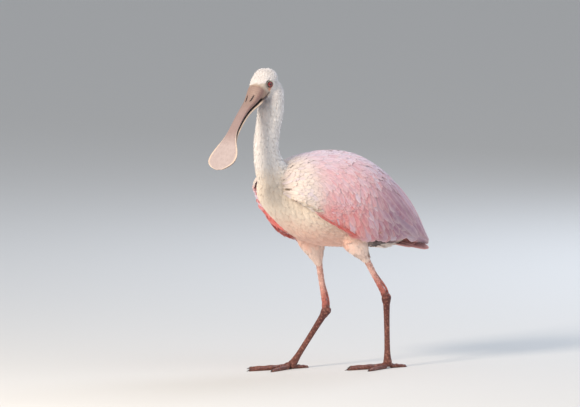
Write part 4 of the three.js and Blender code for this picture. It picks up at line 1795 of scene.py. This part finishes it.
@dataclass
class Bill:
    """The spoon-shaped bill: ridged at its root, smooth and thin on the blade."""

    stations: int = 240
    sides: int = 120
    nostril: tuple[float, float] = (5.2, -0.6)

    def half(self, upper: bool) -> tuple[Array, Array]:
        """Rings of one half and their colours.

        Args:
            upper: Which half.

        Returns:
            Rings [stations, sides, 3] and colours of the same shape.
        """
        t = np.linspace(0, 1, self.stations)
        ahead = (BILL_ROOT + (BILL_ENDS[upper] - BILL_ROOT) * t)[:, None]
        angle = circle(self.sides)[None]
        half, culmen, mouth = np.moveaxis(BILL(ahead), -1, 0)
        cosine = np.cos(angle)
        power = np.where((cosine > 0) == upper, 0.85, 0.5)
        domed = np.sign(cosine) * np.abs(cosine) ** power
        low = mouth + gape(ahead) / 2 if upper else mouth - gape(ahead) / 2 - CHIN(ahead)[..., 0]
        high = culmen if upper else mouth - gape(ahead) / 2
        wide = 1.0 if upper else 0.94 + 0.17 * smooth(92, 68, ahead) * smooth(-20, -4, ahead)
        left = half * wide * np.sin(angle)
        outer = np.clip(domed if upper else -domed, 0, 1)
        inner = smooth(0.55, 0.85, -domed if upper else domed)
        relief = self.relief(left, ahead, half, outer) if upper else -0.15 * outer * np.sin(ahead * 1.2)
        up = low + (high - low) * (domed + 1) / 2 + relief
        rings = from_head(left, ahead + 0 * angle, up)
        return rings, self.tint(upper, left, ahead + 0 * angle, half, outer, inner)

    def slit(self, left: Array, ahead: Array) -> Array:
        """How far places lie in a nostril, from 0 to 1."""
        offset = np.abs(left) - (self.nostril[0] - 0.16 * (ahead - self.nostril[1]))
        return np.exp(-((offset / 1.1) ** 2) - ((ahead - self.nostril[1]) / 7.0) ** 4)

    def wave(self, left: Array, ahead: Array, share: Array) -> Array:
        """The ridges' wave, which bends back towards the edges."""
        return np.sin(ahead * 1.7 + 3.2 * share**2 + 0.5 * left)

    def relief(self, left: Array, ahead: Array, half: Array, outer: Array) -> Array:
        """Ridges, grooves and nostrils on the upper half.

        Args:
            left: Distance from the middle.
            ahead: Place along the bill.
            half: Half width there.
            outer: 1 on top to 0 at the edge.

        Returns:
            Heights to add.
        """
        share = np.abs(left) / np.maximum(half, 1)
        root = smooth(34, -6, ahead)
        ridges = 0.2 * root * self.wave(left, ahead, share) * smooth(0.0, 0.3, share)
        from_groove = (np.abs(left) - (half - 2.6)) / 0.8
        groove = -0.55 * np.exp(-(from_groove**2)) * smooth(-16, 0, ahead) * smooth(142, 120, ahead)
        keel = 0.5 * np.exp(-((left / 2.2) ** 2)) * smooth(70, 20, ahead)
        slit = -2.0 * self.slit(left, ahead)
        blade = 0.18 * np.sin(left * 0.9) * np.sin(ahead * 0.33) * smooth(84, 100, ahead)
        return (ridges + groove + keel + slit + blade) * smooth(0.05, 0.35, outer)

    def tint(
        self, upper: bool, left: Array, ahead: Array, half: Array, outer: Array, inner: Array,
    ) -> Array:
        """Colours of one half.

        Args:
            upper: Which half.
            left: Distance from the middle.
            ahead: Place along the bill.
            half: Half width there.
            outer: 1 on the outer side to 0 at the edge.
            inner: 1 on the side that faces the other half.

        Returns:
            Linear colours.
        """
        share = np.abs(left) / np.maximum(half, 1)
        tone = blend(INK.bill_root, INK.bill_shaft, smooth(0, 40, ahead))
        tone = blend(tone, INK.bill_blade, smooth(70, 105, ahead))
        if upper:
            ridges = 0.4 * smooth(34, 0, ahead) * (0.5 + 0.5 * self.wave(left, ahead, share))
            tone = blend(tone, INK.bill_groove, ridges)
            tone = blend(tone, INK.bill_rim, smooth(0.82, 0.97, share) * smooth(60, 100, ahead))
            tone = blend(tone, INK.bill_edge, smooth(0.8, 1.0, share) * smooth(80, 20, ahead) * 0.6)
            # painted shade: the nostril slits near-black
            slit = smooth(0.15, 0.45, self.slit(left, ahead)) * (outer > 0.05)
            tone = blend(tone, INK.nostril, slit)
            # painted shade: the upper half's inner face near-black, in the gap between the halves
            return blend(tone, INK.mouth, inner * 0.92)
        tone = blend(tone, INK.bill_cream, smooth(-18, -2, ahead) * smooth(125, 95, ahead) * 0.9)
        flush = smooth(0.45, 0.9, outer) * smooth(120, 90, ahead) * smooth(-14, 6, ahead)
        tone = blend(tone, INK.bill_flush, flush * 0.7)
        # partly painted shade: the lower half dark grey at its root, under the chin
        tone = blend(tone, INK.bill_chin_grey_and_shade, smooth(-2, -18, ahead) * 0.8)
        # painted shade: the lower half's inner face near-black, in the gap between the halves
        return blend(tone, INK.mouth, inner * smooth(0.97, 0.86, share) * 0.92)

    def build(self, material: Material) -> None:
        """Make both halves.

        Args:
            material: The horn's finish.
        """
        for name, upper in (("bill_upper", True), ("bill_lower", False)):
            rings, tones = self.half(upper)
            verts, faces = tube(rings)
            made = mesh_object("horn_" + name, verts, faces, material)
            ends = np.stack([tones[0].mean(0), tones[-1].mean(0)])
            paint(made, np.concatenate([tones.reshape(-1, 3), ends]))
            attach(made, "root")
            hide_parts(name)


@dataclass
class Eye:
    """An eyeball with its lids."""

    side: Side
    radius: float = 7.6
    iris: float = 3.8
    pupil: float = 1.9
    opening: float = 4.2
    bulge: float = 0.25
    pole_tone: float = 0.003
    middle: tuple[float, float, float] = (12.5, -41.0, -12.6)
    gaze: tuple[float, float, float] = (0.89, 0.35, 0.29)

    def spot(self, out: Array, ahead: Array, up: Array) -> Array:
        """Places given from the eye's middle.

        Args:
            out: Along the gaze.
            ahead: Across it, towards the bill.
            up: Across it, upwards.

        Returns:
            Points in the bird's frame.
        """
        pole = unit(np.array(self.gaze))
        front = unit(np.array([0, 1.0, 0]) - pole * pole[1])
        rise = np.cross(pole, front)
        spread = np.broadcast_arrays(out, ahead, up)
        out, ahead, up = (np.asarray(value, float)[..., None] for value in spread)
        local = np.array(self.middle) + out * pole + ahead * front + up * rise
        return from_head(self.side.value * local[..., 0], local[..., 1], local[..., 2])

    def build(self, wet: Material, skin: Material) -> None:
        """Make the ball and the lids.

        Args:
            wet: The ball's finish.
            skin: The lids' finish.
        """
        polar = np.linspace(0.02, math.pi - 0.02, 48)[:, None]
        angle = circle(64)[None]
        out = self.radius * np.cos(polar) + 0 * angle
        round_pole = self.radius * np.sin(polar)
        out = out + self.bulge * np.exp(-((round_pole / self.opening) ** 2)) * (np.cos(polar) > 0)
        verts, faces = tube(self.spot(out, round_pole * np.cos(angle), round_pole * np.sin(angle)))
        made = mesh_object("eyeball_" + self.side.word, verts, faces, wet)
        reach = np.broadcast_to(round_pole, out.shape)
        fibre = 0.5 + 0.5 * np.sin(angle * 23) * np.sin(angle * 7 + 1)
        tone = blend(blend(INK.iris, INK.iris_fibre, fibre), INK.iris_rim, smooth(2.9, self.iris, reach))
        pupil = smooth(self.pupil + 0.25, self.pupil - 0.15, reach)
        rim = smooth(self.iris - 0.25, self.iris + 0.15, reach)
        tone = blend(tone, INK.pupil, pupil + (np.cos(polar) < 0) + rim)
        paint(made, np.concatenate([tone.reshape(-1, 3), np.full((2, 3), self.pole_tone)]))
        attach(made, "root")
        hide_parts("eye_" + self.side.word)
        self.lids(skin)

    def lids(self, skin: Material) -> None:
        """Make the two folds of skin round the opening.

        Args:
            skin: Their finish.
        """
        turns = circle(72)
        ring = circle(14)
        folds = ((self.opening + 0.4, 0.8, 6.0), (self.opening + 1.9, 0.95, 4.9))
        for order, (reach, thick, rise) in enumerate(folds):
            wide = reach * (1 + 0.04 * np.cos(turns)) * np.where(np.sin(turns) > 0, 0.92, 0.96)
            thick_at = thick * (1 + 0.25 * np.sin(turns * 2 + order) + 0.12 * np.sin(turns * 9 + 2 * order))
            r = wide[:, None] + thick_at[:, None] * np.cos(ring)
            out = rise + thick_at[:, None] * np.sin(ring) * 0.9
            ahead, up = r * np.cos(turns)[:, None] * 1.06, r * np.sin(turns)[:, None] * 0.94
            verts = self.spot(out, ahead, up).reshape(-1, 3)
            index = np.arange(r.size).reshape(r.shape)
            right, down = np.roll(index, -1, 0), np.roll(index, -1, 1)
            faces = np.stack([index, right, np.roll(right, -1, 1), down], -1).reshape(-1, 4)
            made = mesh_object(f"lid_{order}_{self.side.word}", verts, faces, skin)
            low = smooth(0.1, -0.8, np.sin(turns)) * smooth(-0.9, -0.1, np.cos(turns))
            low = low[:, None] + 0 * ring
            tone = blend(blend(INK.lid_edge, INK.ring, 0.9 * order), INK.lid, low * 0.9 * order)
            paint(made, tone.reshape(-1, 3))
            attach(made, "root")


# Legs


UP = np.array([0, 0, 1.0])


@dataclass
class Leg:
    """The bare tibia, tendon, ankle, tarsus and toes of one leg."""

    side: Side
    hock: float = 7.4
    ankle: float = 15.0
    overlap: float = 8.0
    tendon: float = 1.7
    toe_root: float = 3.0
    sides: int = 28
    toes: tuple[tuple[str, float, float], ...] = (
        ("middle", 82, 0), ("outer", 69, 29), ("inner", 65, -29), ("hind", 37, 180))

    def __post_init__(self) -> None:
        """Find the joints from the named sizes."""
        leg = LEGS[self.side]
        self.top = thigh_rows(self.side, 2)[1, :3]
        self.joint = np.array([leg.x, *leg.hock])
        self.sole = np.array([leg.x, *leg.foot])

    def between(self, a: Array, b: Array, rows: Sequence[Sequence[float]], count: int) -> Array:
        """Stations of a straight limb.

        Args:
            a: Its start.
            b: Its end.
            rows: Its half widths, each [share, across, depth].
            count: How many stations.

        Returns:
            Rows for limb_rings.
        """
        t = np.linspace(0, 1, count)
        return np.concatenate([a + (b - a) * t[:, None], Track(rows)(t)], 1)

    def tint(self, points: Array) -> Array:
        """Colour of the leg's skin by height, from rosy to dark mud brown.

        Args:
            points: Places in millimetres.

        Returns:
            Linear colours.
        """
        z = points[:, 2]
        joint = self.joint[2]
        z = z + 5 * ripple(points, 8, 17)
        tone = blend(INK.shin_rosy, INK.shin_flush, smooth(joint + 50, joint + 18, z))
        tone = blend(tone, INK.shin_dark, smooth(joint + 16, joint + 2, z))
        tone = blend(tone, INK.shin_mud, smooth(joint - 12, joint - 50, z))
        fleck = smooth(0.15, 0.6, ripple(points, 4.5, 12)) * smooth(joint + 18, joint + 2, z)
        return blend(tone, INK.shin_fleck, 0.5 * fleck) * (1 + 0.16 * ripple(points, 10, 13))[:, None]

    def piece(
        self, name: str, rings: Array, material: Material, node: str | None = None,
        tint: Callable[[Array], Array] | None = None,
    ) -> None:
        """Make one limb piece.

        Args:
            name: The piece's name.
            rings: Its rings.
            material: Its finish.
            node: The node that it stands for, if any.
            tint: Colour at points, if not the leg's own.
        """
        verts, faces = tube(rings)
        verts[:, 2] = np.maximum(verts[:, 2], 0.0)
        made = mesh_object(name, verts, faces, material)
        paint(made, (tint or self.tint)(verts))
        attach(made, "root")
        if node:
            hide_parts(node)

    def build(self, material: Material, claw: Material) -> None:
        """Make the leg.

        Args:
            material: The scaly skin.
            claw: The claws' horn.
        """
        word, sides = self.side.word, self.sides
        along = unit(self.joint - self.top)
        down = unit(self.sole - self.joint)
        start = self.top - along * self.overlap
        rows = [[0, 4.8, 5.4], [0.3, 4.5, 5], [0.8, 4.2, 4.6], [0.93, 5.2, 6.2], [1, 6.2, 7]]
        tibia = limb_rings(
            self.between(start, self.joint, rows, 40), sides, lambda t, a: 0.25 * np.sin(t * 60) * np.cos(a))
        self.piece("skin_tibia_" + word, tibia, material, "tibia_" + word)
        behind = unit(np.array([0, 1.0, 0]) - along * along[1])
        t = np.linspace(0.12, 0.99, 30)
        off = 3.3 + 4.2 * smooth(0.35, 0.8, t) - 2.0 * smooth(0.84, 1, t)
        cord = start + (self.joint - start) * t[:, None] + behind * off[:, None]
        cord = np.concatenate([cord, np.full((len(t), 2), self.tendon)], 1)
        self.piece("tendon_" + word, limb_rings(cord, 16), material)
        ankle = self.sole - down * self.ankle
        rows = [[0, 4.6, 5], [0.28, 6.9, 7.4], [0.5, 7.3, 7.6], [0.75, 6.4, 7.0], [1, 4.9, 5.9]]
        knob = self.between(self.joint - down * self.hock, self.joint + down * self.hock * 1.2, rows, 20)
        knob = limb_rings(knob, sides, lambda t, a: 0.35 * np.sin(3 * a + 5 * t))
        self.piece("ankle_" + word, knob, material)
        rows = [[0, 6.6, 7.2], [0.12, 4.6, 5.6], [0.5, 3.9, 4.6], [0.85, 4.2, 4.8], [1, 5.6, 6]]
        tarsus = limb_rings(
            self.between(self.joint, ankle, rows, 70), sides,
            lambda t, a: 0.22 * np.abs(np.sin(t * 75)) * smooth(0.1, 0.8, np.cos(a)))
        self.piece("skin_tarsus_" + word, tarsus, material, node="tarsus_" + word)
        rows = [[0, 5.6, 6], [0.5, 6.8, 7], [1, 5.5, 5.5]]
        hub = self.between(ankle, self.sole + UP * 2.5, rows, 14)
        hub = limb_rings(hub, sides, lambda _, a: 0.3 * np.sin(5 * a))
        self.piece("foot_pad_" + word, hub, material)
        for name, length, angle in self.toes:
            self.toe(name, length, angle, material, claw)
        self.web(material)

    def toe_way(self, angle: float) -> Array:
        """Direction of a toe on the floor."""
        around = math.radians(angle) * self.side.value
        return np.array([math.sin(around), -math.cos(around), 0.0])

    def toe(self, name: str, length: float, angle: float, material: Material, claw: Material) -> None:
        """Make one toe and its claw.

        Args:
            name: Which toe.
            length: Its length with the claw.
            angle: Its direction from straight ahead, outwards.
            material: The scaly skin.
            claw: The claw's horn.
        """
        ahead = self.toe_way(angle)
        title = f"toe_{name}_{self.side.word}"
        t = np.linspace(0, 0.93, 60)
        thick = 3.9 - 2.0 * t + 0.5 * np.sin(math.pi * 3.5 * t) ** 2 * (1 - 0.6 * t)
        thick = thick * (1 - 0.25 * smooth(0.86, 0.93, t))
        rise = 3.6 * (1 - smooth(0, 0.12, t)) + thick * 0.86
        toe = self.flat_rings(length, t, rise, (thick * 1.1, thick), ahead, 22)
        self.piece("skin_" + title, toe, material, node=title)
        t = np.linspace(0.87, 1.0, 16)
        size = 1.35 * (1 - smooth(0.89, 1.0, t)) + 0.28
        rise = 2.5 - 2.0 * smooth(0.9, 1.0, t)
        nail = self.flat_rings(length, t, rise, (size * 0.8, size), ahead, 14)
        self.piece(f"claw_{name}_{self.side.word}", nail, claw, tint=self.claw_tint)

    def claw_tint(self, points: Array) -> Array:
        """The claws' one dark colour."""
        return np.broadcast_to(INK.claw, points.shape)

    def flat_rings(
        self, length: float, t: Array, rise: Array, size: tuple[Array, Array], ahead: Array, sides: int,
    ) -> Array:
        """Rings of a toe or claw, with crossways pads.

        Args:
            length: The toe's length with its claw.
            t: Shares of that length.
            rise: Heights of the middle over the floor.
            size: Half widths and half depths.
            ahead: The toe's direction.
            sides: Points in each ring.

        Returns:
            The rings.
        """
        reach = self.toe_root + (length - self.toe_root) * t
        middle = self.sole + ahead * reach[:, None] + UP * rise[:, None]
        angle = circle(sides)
        across = np.cross(ahead, UP)
        station = np.arange(len(t))[:, None]
        scute = 0.16 * np.abs(np.sin(station * 0.9)) * smooth(0.2, 0.9, np.cos(angle))
        wide, deep = size[0][:, None] * np.sin(angle), (size[1][:, None] + scute) * np.cos(angle)
        return middle[:, None] + across * wide[..., None] + UP * deep[..., None]

    def web(self, material: Material) -> None:
        """Make the short webs between the front toes.

        Args:
            material: The scaly skin.
        """
        across = np.linspace(0, 1, 12)
        out = np.linspace(0, 1, 8)
        a = self.toe_way(0)
        for name, angle in (("outer", 29), ("inner", -29)):
            b = self.toe_way(angle)
            way = unit(a + (b - a) * across[:, None])
            reach = 6 + (17 - 6 * np.sin(math.pi * across)) * out[:, None]
            top = self.sole + way[None] * reach[..., None]
            rise = 3.0 - 0.6 * out[:, None] + 0.5 * np.cos(2 * math.pi * across)
            upper, lower = (top + UP * (rise + shift)[..., None] for shift in (0.5, -0.5))
            self.piece(f"web_{name}_{self.side.word}", np.concatenate([upper, lower[:, ::-1]], 1), material)


# Studio


@dataclass
class Studio:
    """Floor, light and camera."""

    azimuth: float = 57.0
    elevation: float = 5.0
    distance: float = 25.0
    width: float = 0.928
    aim: tuple[float, float] = (-64.0, 264.8)
    floor_radius: float = 40.0

    def axes(self) -> tuple[Array, Array, Array]:
        """The picture's directions.

        Returns:
            Its right, its up and the way towards the camera.
        """
        a, e = math.radians(self.azimuth), math.radians(self.elevation)
        right = np.array([math.cos(a), math.sin(a), 0.0])
        back = np.array([math.sin(a) * math.cos(e), -math.cos(a) * math.cos(e), math.sin(e)])
        return right, np.cross(back, right), back

    def camera(self) -> None:
        """Set the camera at the photograph's view."""
        right, up, back = self.axes()
        target = to_world(right * self.aim[0] + up * self.aim[1])
        data = bpy.data.cameras.new("camera")
        data.sensor_width, data.lens = 36.0, 36.0 * self.distance / self.width
        data.clip_start, data.clip_end = 1.0, 200.0
        made = bpy.data.objects.new("camera", data)
        bpy.context.collection.objects.link(made)
        made.location = target + back * self.distance
        made.rotation_euler = Vector(back).to_track_quat("Z", "Y").to_euler()
        bpy.context.scene.camera = made

    def lamp(
        self, name: str, way: Array, power: float, size: float, tone: tuple[float, float, float],
    ) -> None:
        """Add a soft lamp that looks at the bird.

        Args:
            name: The lamp's name.
            way: Direction from the bird to it.
            power: Its power in watts.
            size: Its side in metres.
            tone: Its colour.
        """
        data = bpy.data.lights.new(name, "AREA")
        data.energy, data.size, data.color = power, size, tone
        made = bpy.data.objects.new(name, data)
        bpy.context.collection.objects.link(made)
        way = unit(way)
        made.location = np.array([0, 0, 0.25]) + way * 3.0
        made.rotation_euler = Vector(way).to_track_quat("Z", "Y").to_euler()

    def build(self, paper: Material) -> None:
        """Set up the studio.

        Args:
            paper: The floor's finish.
        """
        r = self.floor_radius
        floor = bpy.data.meshes.new("floor")
        floor.from_pydata([(-r, -r, 0), (r, -r, 0), (r, r, 0), (-r, r, 0)], [], [(0, 1, 2, 3)])
        made = add_object("floor", floor, paper)
        right, up, back = self.axes()
        self.lamp("key", -0.60 * right + 0.80 * back + 0.45 * up, 84.0, 0.6, (1.0, 0.87, 0.72))
        self.lamp("fill", 0.9 * right + 0.5 * back + 0.6 * up, 16.0, 2.6, (0.80, 0.88, 1.0))
        self.lamp("rim", 0.7 * right - 0.9 * back + 0.8 * up, 44.0, 1.8, (0.74, 0.84, 1.0))
        world = bpy.data.worlds.new("studio")
        world.use_nodes = True
        world.node_tree.nodes["Background"].inputs[0].default_value = (0.80, 0.84, 0.90, 1.0)
        world.node_tree.nodes["Background"].inputs[1].default_value = 0.55
        bpy.context.scene.world = world
        bpy.context.scene.view_settings.view_transform = "Standard"
        self.camera()


def main() -> None:
    """Build the bird, piece by piece, and its studio."""
    groups = {"mottle": mottle_group(), "barbs": barbs_group(), "scales": scales_group()}
    materials = {
        "plumage": Plumage("plumage", 0.8).make(groups),
        "down": Down("bare_skin_and_down", 0.6).make(groups),
        "horn": Horn("bill_horn", 0.5).make(groups),
        "scaly": ScalySkin("leg_skin", 0.55).make(groups),
        "eye": WetEye("wet_eye", 0.12).make(groups),
        "paper": StudioPaper("floor", 0.9).make(groups),
    }
    form = Skin()
    skin = form.build()
    form.dress(skin, materials["down"])
    LOG.info("skin: %d points", len(skin.data.vertices))
    surface = Surface(skin)
    Contour().build(surface, materials)
    for side in Side:
        Wing(side).build(materials["plumage"])
        LOG.info("wing %s", side.word)
    Tail().build(materials["plumage"])
    LOG.info("tail")
    Bill().build(materials["horn"])
    LOG.info("bill")
    for side in Side:
        Eye(side).build(materials["eye"], materials["down"])
        Leg(side).build(materials["scaly"], materials["horn"])
        LOG.info("eye and leg %s", side.word)
    Studio().build(materials["paper"])
    LOG.info("studio")


if __name__ == "__main__":
    main()
